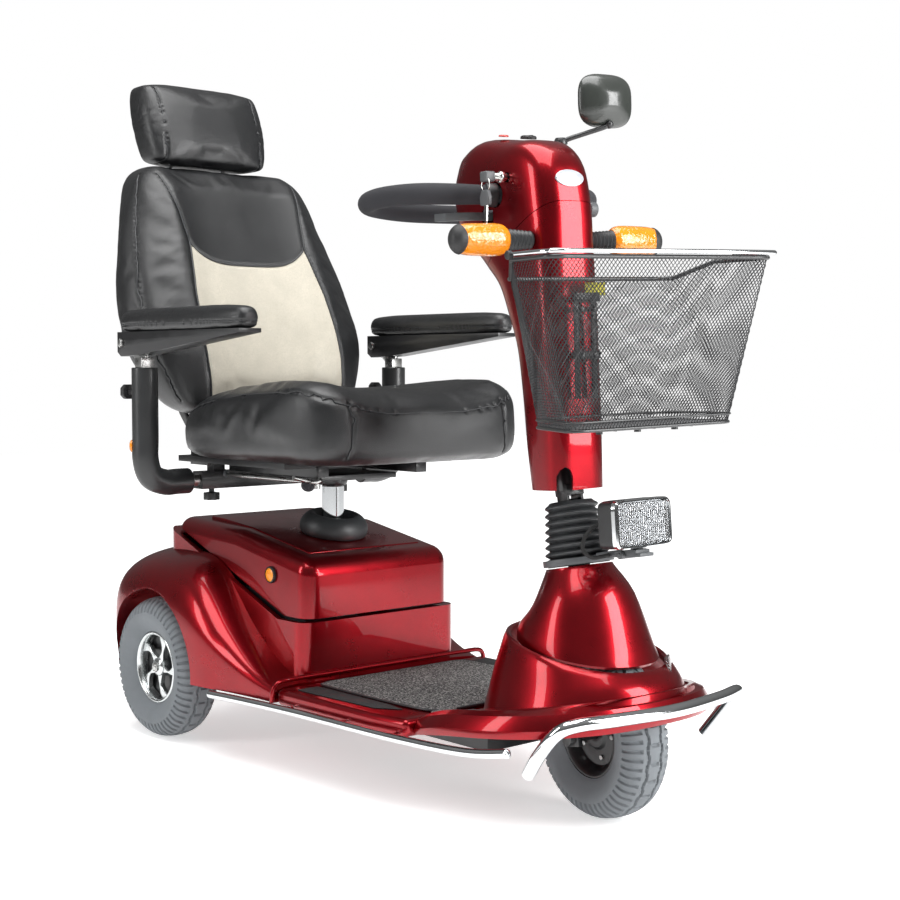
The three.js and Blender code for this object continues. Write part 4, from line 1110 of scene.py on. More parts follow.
class SCOOTER_OT_front_body(bpy.types.Operator):
    """Build the visor over the front wheel and the two shrouds above it"""

    bl_idname = "scooter.front_body"
    bl_label = "Front Body"

    def execute(self, context):
        def skin_ring(x, a, b, rear, front, power=2.2):
            return plan_ring(x, a, b, rear, front, power, 96)

        def visor_ring(rear, front, cut=0.0):
            x, a, b, power = VISOR
            return skin_ring(x, a - cut, b - cut, rear, front, power)

        def skirt_ring(rear, front, wider_a=0.0, wider_b=0.0):
            x, a, b = SKIRT
            return skin_ring(x, a + wider_a, b + wider_b, rear, front)

        steps = ((112, 164, 4), (119, 170, 1), (126, 176, 0.0), (134, 187, 3), (142, 198, 9))
        outer = [visor_ring(*step) for step in steps]
        outer += [visor_ring(147, 204, 22), skirt_ring(152, 212, 5, 14)]
        inner = [visor_ring(90, 140, 8), visor_ring(124, 174, 4), visor_ring(137, 193, 12)]
        inner.append(skirt_ring(147, 207, 5, 14))
        visor = mesh_object("front_visor_shell", loft(outer), STRAIGHT)
        carved(
            visor,
            solid(loft(inner)),
            solid(loft([skirt_ring(80, 100, 1, 1), skirt_ring(260, 320, 1, 1)])),
            solid(block(400, PAN_SPLIT, -300, 300, 50, 300)),
        )
        to_layout = STRAIGHT.inverted()
        for vertex in visor.data.vertices:
            x, y, z = to_layout @ vertex.co
            fade = max(0.0, (800 - x) / 100) ** 2 * min(1.0, max(0.0, (z - 112) / 34))
            vertex.co = STRAIGHT @ Vector((x, y, z - VISOR_DROP * fade))
        finished(visor, "red_paint", stands_for=("front_visor",), angle=26)
        self.mat_wings(visor)

        outer = [skirt_ring(141, 196), skin_ring(868, 146, 134, 215, 216)]
        outer.append(skin_ring(869.5, 131, 119, 276, 232))
        rim = [skin_ring(869, 127, 115, 284, 236), skin_ring(869.5, 123.5, 111.5, 285.5, 237.5)]
        rim.append(skin_ring(870, 120, 108, 283, 235))
        inner = [skirt_ring(141, 194, -4, -4), skin_ring(868, 142, 130, 212, 213)]
        inner.append(skin_ring(870, 121, 109, 270, 226))
        skirt = walled(rings_between(outer, 4) + rim, rings_between(inner, 4))
        piece(
            "front_shroud_skirt", skirt, "red_paint", stands_for=("front_shroud_lower",), angle=30
        )

        outer = [skin_ring(870, 112, 99, 272, 244), skin_ring(866, 104, 95, 292, 266)]
        outer += [axis_ring(*row) for row in ((79, 205), (54, 250), (52.5, 255))]
        inner = [skin_ring(870, 109, 96, 268, 240), skin_ring(866, 100, 91, 290, 264)]
        inner += [axis_ring(*row) for row in ((73, 206), (48, 248), (33, 251), (33, 254.5))]
        cone = walled(rings_between(outer, 4), rings_between(inner, 3))
        piece("front_shroud_cone", cone, "red_paint", stands_for=("front_shroud_upper",), angle=30)
        return {"FINISHED"}

    @staticmethod
    def mat_wings(visor):
        """The mat runs forward on both sides of the skirt, lying on the visor."""
        skin = surface_of(visor)
        for name, s in SIDES:
            verts, faces, rows, columns = [], [], 16, 8
            for i in range(rows + 1):
                t = i / rows
                x = 694 + 92 * i / rows
                inner = 100 + 52 * min(1.0, ((x - 690) / 60) ** 0.6)
                outer = 168 + 14 * math.sin(math.pi * t * 0.5) - 12 * t**4
                for j in range(columns + 1):
                    y = s * (inner + (max(outer, inner + 6) - inner) * j / columns)
                    start = STRAIGHT @ Vector((x, y, 260))
                    spot = skin.ray_cast(start, Vector((0, 0, -1)))[0]
                    floor = STRAIGHT @ Vector((x, y, MAT_TOP))
                    verts.append(spot if spot is not None and spot.z > floor.z else floor)
            for i in range(rows):
                for j in range(columns):
                    a = i * (columns + 1) + j
                    faces.append((a, a + 1, a + columns + 2, a + columns + 1))
            wing = mesh_object(f"mat_wing_{name}", (verts, faces))
            thick = ("SOLIDIFY", {"thickness": 4 * MM, "offset": 0.0})
            applied(wing, thick, ("SUBSURF", {"levels": 1}))
            finished(wing, "floor_carpet", node="floor_mat", angle=50)


class SCOOTER_OT_bright_bars(bpy.types.Operator):
    """Build the chrome side rails and the front bumper bar"""

    bl_idname = "scooter.bright_bars"
    bl_label = "Rails and Bumper"

    def execute(self, context):
        for name, s in SIDES:
            line = [(206, 258, 114), (300, 251, 116), (450, 246, 119), (700, 246, 123)]
            line += [(860, 246, 131), (945, 240, 144)]
            parts = [tube([(x, s * y, z) for x, y, z in line], 7, 28, 14)]
            for x, reach in ((420, 234), (560, 231.6), (680, 224.8)):
                parts.append(rod(5, *outwards(s, reach, 244), at=(x, 0, 121)))
            rail = bevelled(mesh_object(f"foot_rail_{name}", merged(*parts), STRAIGHT), 1.2, 2, 50)
            finished(rail, "chrome", stands_for=(f"side_rail_{name}",))
        half = [(940, -196, 104), (968, -200, 140), (998, -197, 174)]
        path = mirrored(half + [(1018, -178, 187), (1039, -110, 189)], (1052, 0, 189))
        bumper = bevelled(mesh_object("bumper_bar", tube(path, 10, 32, 14), STRAIGHT), 1.5, 3, 50)
        finished(bumper, "chrome", stands_for=("front_bumper",))
        return {"FINISHED"}


class SCOOTER_OT_bellows(bpy.types.Operator):
    """Build the folded rubber bellows"""

    bl_idname = "scooter.bellows"
    bl_label = "Bellows"

    def execute(self, context):
        folds = context.scene.scooter_sizes.bellows_folds
        low, high = 270.0, 354.0
        profile = [(29, 256.8), (48.1, 256.8), (48.1, 268.5)]
        for i in range(folds * 12 + 1):
            t = i / (folds * 12)
            wave = 0.5 - 0.5 * math.cos(2 * math.pi * folds * t)
            radius = 43.5 - 8.5 * t + (7.5 - 1.5 * t) * wave**0.7
            profile.append((radius, low + (high - low) * t))
        profile += [(33, 356), (29, 356), (29, 256.8)]
        bellows = mesh_object("folded_bellows", lathe(profile, 80, "Z"), ALONG_AXIS)
        bellows.data.shade_smooth()
        bellows.data.set_sharp_from_angle(angle=math.radians(50))
        bellows.data.materials.append(material("bellows_rubber"))
        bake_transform(bellows)
        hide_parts("steering_bellows")
        return {"FINISHED"}


# ------------------------------------------------------------------ headlamp
LAMP_HALF, LAMP_HIGH = 66.0, 36.0
LAMP_BOLT = (955, 0, 408)
LEAD_RADIUS = 3.0
GLASS_ACROSS, GLASS_UP = 96, 12
GLASS_FRONT, GLASS_BACK = 18.6, 15.8


def lamp_rings(rows):
    """Squarish rings round the lamp from rows of distance and inset."""
    rings = []
    for x, inset in rows:
        outline = oval(LAMP_HALF - inset, LAMP_HIGH - inset, 9, 64)
        rings.append([(x, y, z) for y, z in outline])
    return rings


def fluted_glass():
    """The lamp glass: crowned in front and with upright flutes behind."""
    across, up = GLASS_ACROSS, GLASS_UP
    verts, faces = [], []
    for face_x in (GLASS_FRONT, GLASS_BACK):
        for j in range(up + 1):
            for i in range(across + 1):
                y = -60.5 + 121 * i / across
                crown = 0.5 - 1.2 * (y / 62) ** 4
                flute = 0.5 * math.cos(math.pi * i / 2)
                x = face_x + (flute if face_x == GLASS_BACK else crown)
                verts.append((x, y, -30.5 + 61 * j / up))
    width = across + 1
    size = width * (up + 1)
    for j in range(up):
        for i in range(across):
            a = j * width + i
            faces.append((a, a + 1, a + width + 1, a + width))
            faces.append((size + a, size + a + width, size + a + width + 1, size + a + 1))
    rim = list(range(width)) + [j * width + across for j in range(1, up + 1)]
    rim += [up * width + i for i in range(across - 1, -1, -1)]
    rim += [j * width for j in range(up - 1, 0, -1)]
    for k, a in enumerate(rim):
        b = rim[(k + 1) % len(rim)]
        faces.append((a, size + a, size + b, b))
    return verts, faces


class SCOOTER_OT_headlamp(bpy.types.Operator):
    """Build the square headlamp with its bracket and cable"""

    bl_idname = "scooter.headlamp"
    bl_label = "Headlamp"

    def execute(self, context):
        rows = ((-18.5, 3), (-17, 1), (-14, 0), (10, 0), (10, 5), (-8, 6), (-12, 8))
        case = mesh_object("headlamp_case", loft(lamp_rings(rows)), LAMP)
        finished(case, "black_moulding", stands_for=("headlamp_body",))
        bowl = lamp_rings(((8.5, 5.5), (7.5, 8), (-4, 16), (-9, 24), (-10, 31)))
        bowl += [[(x - 0.6, y, z) for x, y, z in ring] for ring in reversed(bowl)]
        mirror = mesh_object("headlamp_reflector", loft(bowl), LAMP)
        finished(mirror, "lamp_mirror", node="headlamp_body", slot="chrome_bar")
        filament = lathe([(0, -9), (9, -9), (9, -4), (6, 3), (0, 5)], 32, "X")
        piece(
            "headlamp_bulb", filament, "lamp_mirror", LAMP, node="headlamp_body", slot="lamp_lens"
        )
        rows = ((9.5, -0.8), (16, -0.8), (19, 1.2), (19, 3.2), (15, 4.6), (9.5, 4.6))
        rings = lamp_rings(rows)
        bezel = mesh_object("headlamp_bezel", walled(rings[:3], rings[:2:-1]), LAMP)
        finished(bezel, "chrome", node="headlamp_body", slot="chrome_bar")
        lens = mesh_object("headlamp_glass", fluted_glass(), LAMP)
        finished(lens, "clear_glass", stands_for=("headlamp_lens",), angle=60)
        from_frame("headlamp_bracket", "lamp_clamp", "grey_moulding", 1.2)
        knob = [rod(6, -22, 22, at=LAMP_BOLT), rod(4, -25, 25, at=LAMP_BOLT, sides=6)]
        piece(
            "lamp_clamp_bolt", merged(*knob), "grey_moulding", bevel=(1, 2), node="headlamp_bracket"
        )
        line = [(945.5, -22, 452), (934, -30, 455), (922, -44, 448), (914, -54, 432)]
        line += [(912, -54, 414), (918, -42, 403), (926, -28, 404), (930, -17, 406)]
        rows = [STRAIGHT @ Vector(p) for p in between(line, 8)]
        cable = mesh_object("headlamp_lead", tube(line, LEAD_RADIUS, 16, 8), STRAIGHT)
        finished(cable, "cable_sheath", stands_for=("headlamp_cable",), angle=60)
        return {"FINISHED"}


# ------------------------------------------------------------------ tiller
# x and z of the rear edge, x and z of the front edge, and half width, from the foot up
TILLER_SECTIONS = [(783, 497, 868, 501, 50), (772, 560, 868, 580, 51), (764, 640, 865, 680, 52)]
TILLER_SECTIONS += [(752, 712, 862, 770, 53), (730, 763, 859, 830, 54), (705, 811, 856, 885, 55)]
TILLER_SECTIONS += [(672, 842, 853, 940, 57), (640, 868, 838, 1000, 58), (612, 892, 800, 1034, 59)]
TILLER_SECTIONS += [(597, 908, 744, 1043, 59), (591, 940, 672, 1051, 57), (592, 968, 628, 1038, 50)]
CASING_SEAM = 6
CASING_STEPS = 5
GRIP = (738.0, 958.0)
KEY_HOLE = (762, 982)
SOCKET = (826, 0, 930)


def casing_ring(row, inset, shift=0.0):
    """A ring round the tiller casing at one section, moved along the casing by the shift."""
    xr, zr, xf, zf, half = row
    length = math.hypot(xf - xr, zf - zr)
    ux, uz = (xf - xr) / length, (zf - zr) / length
    ring = []
    for u, v in oval(length / 2 - inset, half - inset, 3.6, 80):
        x = (xr + xf) / 2 + u * ux - shift * uz
        ring.append((x, v, (zr + zf) / 2 + u * uz + shift * ux))
    return ring


def casing_shape(first, last, inset, shift_first, shift_last):
    rows = between(TILLER_SECTIONS, CASING_STEPS)[first * CASING_STEPS : last * CASING_STEPS + 1]
    rings = []
    for k, row in enumerate(rows):
        shift = shift_first if k == 0 else shift_last if k == len(rows) - 1 else 0.0
        rings.append(casing_ring(row, inset, shift))
    return loft(rings)


class SCOOTER_OT_tiller(bpy.types.Operator):
    """Build the two casings of the tiller"""

    bl_idname = "scooter.tiller"
    bl_label = "Tiller Casing"

    def execute(self, context):
        below = casing_shape(0, CASING_SEAM, 0, 0, -0.6)
        shroud = mesh_object("tiller_casing_lower", below, STEERED)
        arch = [(-44, 480), (-44, 522), (-40, 532), (-32, 537), (-24, 532), (-20, 522), (-20, 480)]
        carved(
            shroud,
            solid(casing_shape(0, CASING_SEAM, 3, -5, 5), matrix=STEERED),
            solid(prism(arch, 840, 900, "X"), matrix=STEERED),
        )
        finished(shroud, "red_paint", stands_for=("tiller_shroud",), angle=26)
        end = len(TILLER_SECTIONS) - 1
        above = casing_shape(CASING_SEAM, end, 0, 0.6, 0)
        head = mesh_object("tiller_casing_upper", above, STEERED)
        gx, gz = GRIP
        carved(
            head,
            solid(casing_shape(CASING_SEAM, end - 1, 3, -5, 4), matrix=STEERED),
            solid(rod(20, -80, 80, at=(gx - 8, 0, gz), sides=40), matrix=STEERED),
            solid(block(690, 722, -80, 80, 915, 937), 3, 2, matrix=STEERED),
            solid(rod(8, -75, -40, at=(KEY_HOLE[0], 0, KEY_HOLE[1])), matrix=STEERED),
        )
        finished(head, "red_paint", stands_for=("tiller_head",), angle=26)
        place = STEERED @ Matrix.Translation((844, 0, 974)) @ Matrix.Rotation(-0.25, 4, "Y")
        badge = mesh_object("blank_badge", prism(oval(26, 13.5, 2, 56), -1, 4.4, "X"), place)
        finished(bevelled(badge, 1.2, 3), "badge_blank", node="tiller_head")
        cap = [rod(12, 48, 62, at=SOCKET, sides=36), rod(7, 60, 65, at=SOCKET, sides=36)]
        socket = bevelled(mesh_object("charge_socket_cap", merged(*cap), STEERED), 1.5, 3)
        finished(socket, "grey_moulding", node="tiller_shroud", slot="control_grey")
        panel = casing_ring(between(TILLER_SECTIONS, CASING_STEPS)[-1], 12)
        raised = [(x - 1.6, y, z + 2.2) for x, y, z in panel]
        face = bevelled(mesh_object("control_panel", loft([panel, raised]), STEERED), 1, 2)
        finished(face, "black_moulding", node="tiller_head", slot="control_black")
        return {"FINISHED"}


class SCOOTER_OT_handlebar(bpy.types.Operator):
    """Build the loop grip and the thumb levers"""

    bl_idname = "scooter.handlebar"
    bl_label = "Handlebar"

    def execute(self, context):
        gx, gz = GRIP
        half = [(gx, -20, gz), (730, -50, 958), (705, -110, 960), (668, -165, 962)]
        half += [(620, -198, 960), (575, -200, 955), (545, -170, 950), (530, -100, 945)]
        path = mirrored(half, (528, 0, 944))
        sizes = [13, 14, 16.5, 17, 16.5, 16, 15.5, 15.5]
        loop = tube(path, sizes + [15.5] + sizes[::-1], 28, 10)
        bar = rod(12, -24, 24, at=(gx, 0, gz), sides=28)
        grip = mesh_object("loop_grip", merged(loop, bar), STEERED)
        finished(grip, "grip_foam", stands_for=("handlebar",), angle=45)
        collars = []
        for _, s in SIDES:
            line = [(728, s * 55, 958), (722, s * 72, 958.5)]
            collars.append(tube(line, 18.5, 28, 1))
        ring = bevelled(mesh_object("grip_collars", merged(*collars), STEERED), 1.5, 2)
        finished(ring, "black_moulding", node="handlebar")
        for name, _ in SIDES:
            node = f"thumb_lever_{name}"
            from_frame(node, f"thumb_paddle_{name}", "grey_moulding", 2.2, 3)
        return {"FINISHED"}


class SCOOTER_OT_controls(bpy.types.Operator):
    """Build the dial, the horn button and the key"""

    bl_idname = "scooter.controls"
    bl_label = "Controls"

    def execute(self, context):
        verts, faces = lathe([(0, 0.2), (13, 0.2), (13, 3.5), (12, 5), (9, 6), (0, 6)], 72, "Z")
        for index, vertex in enumerate(verts):
            if (index // 6) % 6 < 2 and 1 < vertex.z < 5.4:
                vertex.x *= 0.94
                vertex.y *= 0.94
        knob = merged((verts, faces), block(2, 11, -0.9, 0.9, 5.8, 6.6))
        dial = mesh_object("speed_knob", knob, DASH @ Matrix.Translation((0, 24, 0)))
        finished(dial, "black_moulding", stands_for=("speed_dial",))
        cap = lathe([(0, 1.7), (8, 1.7), (8, 3.2), (6.8, 4.4), (4, 4.8), (0, 4.6)], 48, "Z")
        button = mesh_object("horn_push", cap, DASH @ Matrix.Translation((0, -24, 0)))
        finished(button, "horn_red", stands_for=("horn_button",))
        x0, z0 = KEY_HOLE
        profile = [(0, -44), (6, -44), (6, -66), (9, -66), (9, -72), (6.5, -73), (6, -86), (0, -86)]
        body = moved(lathe(profile, 32), (x0, 0, z0))
        bow = prism([(754, 974), (770, 974), (771, 990), (753, 990)], -103, -84)
        piece("key_bow", bow, "grey_moulding", STEERED, bevel=(3, 3), node="ignition_key")
        key = bevelled(mesh_object("ignition_lock_key", body, STEERED), 1, 2)
        finished(key, "key_metal_finish", stands_for=("ignition_key",))
        ring = [(x0 + u, -97, z0 - 12 + v) for _, u, v in spread_round(24, 11)]
        spare_blade = [(759, 918), (761, 912), (764, 914), (766, 938), (758, 938)]
        steel = merged(tube(ring, 0.9, 8, 1, closed=True), prism(spare_blade, -98.6, -96.4))
        piece("key_ring_and_blade", steel, "key_metal_finish", STEERED, node="ignition_key")
        spare_bow = [(751, 938), (773, 938), (775, 950), (770, 962), (754, 962), (749, 950)]
        bow = bevelled(mesh_object("spare_key_bow", prism(spare_bow, -101, -94), STEERED), 2, 3)
        finished(bow, "grey_moulding", node="ignition_key")
        return {"FINISHED"}


class SCOOTER_OT_indicators(bpy.types.Operator):
    """Build the two indicator lamps on their rubber stalks"""

    bl_idname = "scooter.indicators"
    bl_label = "Indicators"

    def execute(self, context):
        flatten = Matrix.Diagonal((0.8, 1, 1, 1))
        for name, s in SIDES:
            node = f"indicator_{name}"
            place = STEERED @ Matrix.Translation((817, 0, 882)) @ flatten
            if s < 0:
                place = place @ Matrix.Rotation(math.pi, 4, "X")
            stalk = [(0, 54), (13, 54)]
            for i in range(25):
                t = i / 24
                stalk.append((12.5 + 1.6 * math.cos(12 * math.pi * t) + 3 * t, 57 + 42 * t))
            stalk += [(18, 101), (0, 101)]
            rubber = mesh_object(node + "_stalk", lathe(stalk, 48), place)
            finished(rubber, "bellows_rubber", stands_for=(node,), angle=50)
            lens = [(18, 100), (23, 108), (24.6, 122), (24.4, 145), (23.6, 170), (21, 186)]
            verts, faces = lathe([(0, 100)] + between(lens, 5) + [(0, 186)], 64)
            for vertex in verts:
                flute = 0.35 * math.cos(8 * math.pi * (vertex.y - 100) / 20)
                around = math.atan2(vertex.x, vertex.z)
                scale = 1 + 0.012 * flute * math.cos(16 * around)
                vertex.x *= scale
                vertex.z *= scale
            piece(node + "_lens", (verts, faces), "amber_lens", place, node=node, angle=60)
            cap = between([(22.6, 181), (21.2, 187), (19, 191), (15, 195), (9, 198), (0.5, 199)], 4)
            inner = [(r - 1.6 if r > 2 else 0.2, y - 1.5) for r, y in reversed(cap)]
            verts, faces = lathe(cap + inner + [cap[0]], 64)
            for vertex in verts:
                fade = max(0.0, (190 - vertex.y) / 9)
                vertex.y += 3 * fade * math.cos(2 * math.atan2(vertex.x, vertex.z))
            piece(node + "_cap", (verts, faces), "black_moulding", place, node=node)
        return {"FINISHED"}


class SCOOTER_OT_mirror(bpy.types.Operator):
    """Build the mirror and its arm"""

    bl_idname = "scooter.mirror"
    bl_label = "Mirror"

    def execute(self, context):
        line = [(768, 42, 1038), (776, 52, 1044), (790, 78, 1053), (802, 104, 1062)]
        stalk = tube(line + [(804, 111, 1068)], 4, 20, 8)
        foot = lathe([(0, 1036), (11, 1036), (11, 1040), (8, 1046), (0, 1046)], 28, "Z")
        steps = [math.pi * i / 12 for i in range(13)]
        ball = lathe([(7 * math.sin(t), -7 * math.cos(t)) for t in steps], 24, "Z")
        parts = [stalk, moved(foot, (768, 42, 0)), moved(ball, (804, 111, 1066))]
        arm = mesh_object("mirror_stalk", merged(*parts), STEERED)
        finished(arm, "satin_tube", stands_for=("mirror_arm",), angle=50)

        def ring(x, a, b):
            return [(x, 113 + u, 1104 + v) for u, v in oval(a, b, 3.2, 72)]

        outer = [(786, 48.5, 39.5), (789, 51, 42), (795, 50, 41), (803, 44, 36)]
        outer += [(812, 31, 25), (818, 16, 13), (820, 4, 3)]
        shell = [ring(789, 46, 37), ring(786.4, 46.5, 37.5)]
        shell += [ring(*row) for row in between(outer, 5)]
        head = mesh_object("mirror_shell", loft(shell), STEERED)
        finished(head, "mirror_plastic", stands_for=("mirror_head",), angle=40)
        pane = loft([ring(787.2, 46.2, 37.2), ring(789.4, 46, 37)])
        piece("mirror_glass", pane, "looking_glass", STEERED, node="mirror_head")
        return {"FINISHED"}


# ------------------------------------------------------------------ basket
BASKET_BOTTOM = 603.0
WALL_POINTS = 160
STRANDS = 150
STRAND_TURN = 30 / STRANDS
FLOOR_SPAN, FLOOR_STEP = 420, 7.0


def basket_outline(t, count=WALL_POINTS):
    """The plan of the basket, from its bottom (0) to its rim (1), evenly spaced."""

    def mix(low, high):
        return low + (high - low) * t

    x0, x1 = mix(893, 886), mix(1042, 1074)
    rear, front = mix(98, 150), mix(147, 200)
    bend, corner = mix(915, 972), 16
    half = [(x0, 0), (x0, rear - corner)]
    half += [(x0 + 5, rear - 5), (x0 + corner, rear), (bend, mix(118, 196)), (x1 - corner, front)]
    half += [(x1 - 5, front - 5), (x1, front - corner), (x1, 0)]
    closed = half + [(x, -y) for x, y in reversed(half[1:-1])]
    lengths = [0.0]
    ring = closed + closed[:1]
    for (ax, ay), (bx, by) in zip(ring, ring[1:]):
        lengths.append(lengths[-1] + math.hypot(bx - ax, by - ay))
    made, k = [], 0
    for i in range(count):
        want = lengths[-1] * i / count
        while lengths[k + 1] < want:
            k += 1
        f = (want - lengths[k]) / (lengths[k + 1] - lengths[k])
        (ax, ay), (bx, by) = ring[k], ring[k + 1]
        made.append((ax + (bx - ax) * f, ay + (by - ay) * f))
    return made


def rim_height(x):
    return 820 + 23 * min(1.0, max(0.0, (x - 905) / 55))


def wall_point(u, t):
    """A point on the basket wall, u round the outline and t from bottom to rim."""
    count = WALL_POINTS
    low, high = WALL_LOW, WALL_HIGH
    i = math.floor(u * count)
    f = u * count - i
    i, j = i % count, (i + 1) % count
    bx = low[i][0] + (low[j][0] - low[i][0]) * f
    by = low[i][1] + (low[j][1] - low[i][1]) * f
    tx = high[i][0] + (high[j][0] - high[i][0]) * f
    ty = high[i][1] + (high[j][1] - high[i][1]) * f
    z = BASKET_BOTTOM + (rim_height(tx) - BASKET_BOTTOM) * t
    return bx + (tx - bx) * t, by + (ty - by) * t, z


WALL_LOW = basket_outline(0)
WALL_HIGH = basket_outline(1)


class SCOOTER_OT_basket(bpy.types.Operator):
    """Build the wire basket and its carrying handle"""

    bl_idname = "scooter.basket"
    bl_label = "Basket"

    def execute(self, context):
        wire = context.scene.scooter_sizes.basket_wire / MM
        mesh = []
        for k in range(STRANDS):
            for way in (1, -1):
                line = []
                for t in range(21):
                    line.append(wall_point(k / STRANDS + way * STRAND_TURN * t / 20, t / 20))
                mesh.append(tube(line, wire, 4, 1))
        for k in range(int(FLOOR_SPAN / FLOOR_STEP)):
            for way in (1, -1):
                run = []
                for i in range(41):
                    x = 893 + 149 * i / 40
                    y = -FLOOR_SPAN / 2 + k * FLOOR_STEP + way * (x - 967) * 0.6
                    limit = 98 + (x - 893) * 0.95 if x < 915 else 118 + (x - 915) * 0.235
                    if abs(y) < limit - 2 and 895 < x < 1040:
                        run.append((x, y, BASKET_BOTTOM + 1))
                if len(run) > 1:
                    mesh.append(tube([run[0], run[-1]], wire, 4, 1))
        piece("basket_mesh", merged(*mesh), "mesh_wire", STEERED, stands_for=("basket",), angle=80)
        rim = [(x, y, rim_height(x)) for x, y in WALL_HIGH]
        foot = [(x, y, BASKET_BOTTOM) for x, y in WALL_LOW]
        low_hoop = [wall_point(i / WALL_POINTS, 0.05) for i in range(WALL_POINTS)]
        hoops = ((rim, 3.4, 14), (foot, 2.6, 12), (low_hoop, 1.6, 10))
        parts = [tube(line, radius, sides, 1, closed=True) for line, radius, sides in hoops]
        for y in (-70, 0, 70):
            parts.append(tube([(896, y, 601.5), (1040, y, 601.5)], 2, 10, 1))
            parts.append(rod(5, 594, 602, "Z", (1000, y, 0), 16))
        piece("basket_frame", merged(*parts), "satin_tube", STEERED, node="basket", angle=45)
        hanger = merged(
            block(874, 888, -22, 22, 700, 712),
            *[block(876, 882, y - 4, y + 4, 640, 800) for y in (-16, 16)],
            block(882, 886, -24, 24, 786, 800),
            *[rod(5, 868, 891, "X", (0, y, z), 6) for y in (-12, 12) for z in (705, 775)],
        )
        piece("basket_hanger", hanger, "black_powder_coat", STEERED, bevel=(1.2, 2), node="basket")
        label = mesh_object("rim_label", block(882.2, 883.4, -2, 36, 796, 815), STEERED)
        finished(bevelled(label, 0.3, 1), "label_yellow", node="basket")
        half = [(985, -206, 850), (1020, -206, 850), (1062, -202, 850), (1082, -180, 850)]
        bail = tube(mirrored(half, (1086, 0, 850)), 3.4, 18, 10)
        piece("basket_bail", bail, "chrome", STEERED, stands_for=("basket_handle",), angle=50)
        clips = []
        for _, s in SIDES:
            clips.append(rod(6.5, *outwards(s, 205, 213), at=(985, 0, 849), sides=20))
        hooks = bevelled(mesh_object("bail_clips", merged(*clips), STEERED), 1.2, 2)
        finished(hooks, "black_moulding", node="basket_handle")
        return {"FINISHED"}


# ------------------------------------------------------------------ seat
# front x, back x, half width and height
BACK_SECTIONS = [(64, -34, 172, 600), (68, -68, 204, 618), (62, -104, 228, 660)]
BACK_SECTIONS += [(38, -148, 254, 740), (-8, -184, 248, 850), (-52, -216, 224, 950)]
BACK_SECTIONS += [(-89, -238, 200, 1030), (-112, -244, 180, 1064), (-134, -230, 150, 1084)]
# x of the middle, half depth, half width and height
HEAD_SECTIONS = [(-196, 42, 122, 1088), (-201, 52, 135, 1102), (-219, 57, 143, 1166)]
HEAD_SECTIONS += [(-238, 52, 138, 1230), (-244, 40, 124, 1248)]
FOLD_DEPTH = 0.5
CUSHION_X = 275
PAD_X = 190
POST_X = 50
ARM_PIVOT = (9, 730)
REFLECTOR_TURN = math.radians(40)


class SCOOTER_OT_seat_base(bpy.types.Operator):
    """Build the chrome post, the swivel and the frame under the seat"""

    bl_idname = "scooter.seat_base"
    bl_label = "Seat Base"

    def execute(self, context):
        profile = [(0, 130), (20.5, 130), (20.5, 468), (19, 470), (0, 470)]
        place = STRAIGHT @ Matrix.Translation((SEAT_X, 0, 0))
        piece("height_post", lathe(profile, 64, "Z"), "chrome", place, stands_for=("seat_post",))
        collar = lathe([(0, 471), (25, 471), (27, 476), (27, 484), (0, 484)], 48, "Z")
        plate = block(SEAT_X - 75, SEAT_X + 75, -90, 90, 484, 494)
        swivel = merged(plate, moved(collar, (SEAT_X, 0, 0)))
        disc = bevelled(mesh_object("swivel_disc", swivel, STRAIGHT), 1.5, 2)
        finished(disc, "black_powder_coat", stands_for=("seat_swivel_plate",))
        from_frame("seat_frame", "seat_pan_frame", "black_powder_coat")
        lever = tube([(238, -48, 472), (262, -76, 474), (296, -106, 478)], 4, 18, 6)
        pin = rod(8, 466, 483.5, "Z", (238, -48, 0))
        piece("swivel_release", merged(lever, pin), "zinc_steel", stands_for=("swivel_lever",))
        line = [(290, -101, 477), (298, -108, 478), (318, -127, 481), (325, -133, 482)]
        handle = tube(line, [8, 10.5, 10.5, 6], 24, 5)
        piece("swivel_release_grip", handle, "grip_foam", node="swivel_lever")
        rods = merged(
            tube([(72, -128, 488), (330, -128, 488), (352, -124, 492)], 4, 16, 4),
            tube([(330, -128, 488), (344, -150, 492), (346, -176, 498)], 4, 16, 4),
        )
        piece("slide_release_rod", rods, "zinc_steel", node="seat_frame", slot="key_metal")
        knobs = []
        for _, s in SIDES:
            outline = []
            for t, u, v in spread_round(48):
                r = 13 + 2.2 * math.cos(6 * t)
                outline.append((POST_X + r * u, s * 150 + r * v))
            knobs.append(prism(outline, 440, 454, "Z"))
            knobs.append(rod(5, 452, 463, "Z", (POST_X, s * 150, 0)))
        star_knobs = bevelled(mesh_object("width_star_knobs", merged(*knobs), STRAIGHT), 2, 2)
        finished(star_knobs, "black_moulding", node="seat_frame", slot="control_black")
        line = [(68, -128, 488), (60, -128, 488), (40, -128, 486)]
        pull = mesh_object("slide_release_grip", tube(line, [5, 9, 8], 20, 4), STRAIGHT)
        finished(pull, "grey_moulding", node="seat_frame", slot="control_grey")
        return {"FINISHED"}


def cushion_top(x, y):
    """Height of the cushion's upper face."""
    t = max(0.0, min(1.0, (x - 34) / 482))
    rise = min(1.0, t / 0.62)
    base = 606 + 50 * rise * (2 - rise) - 22 * max(0.0, (t - 0.8) / 0.2) ** 2
    side = min(1.0, (abs(y) / 185) ** 3)
    return base + (side - 0.55) * 16 * min(1.0, 1.6 * t)


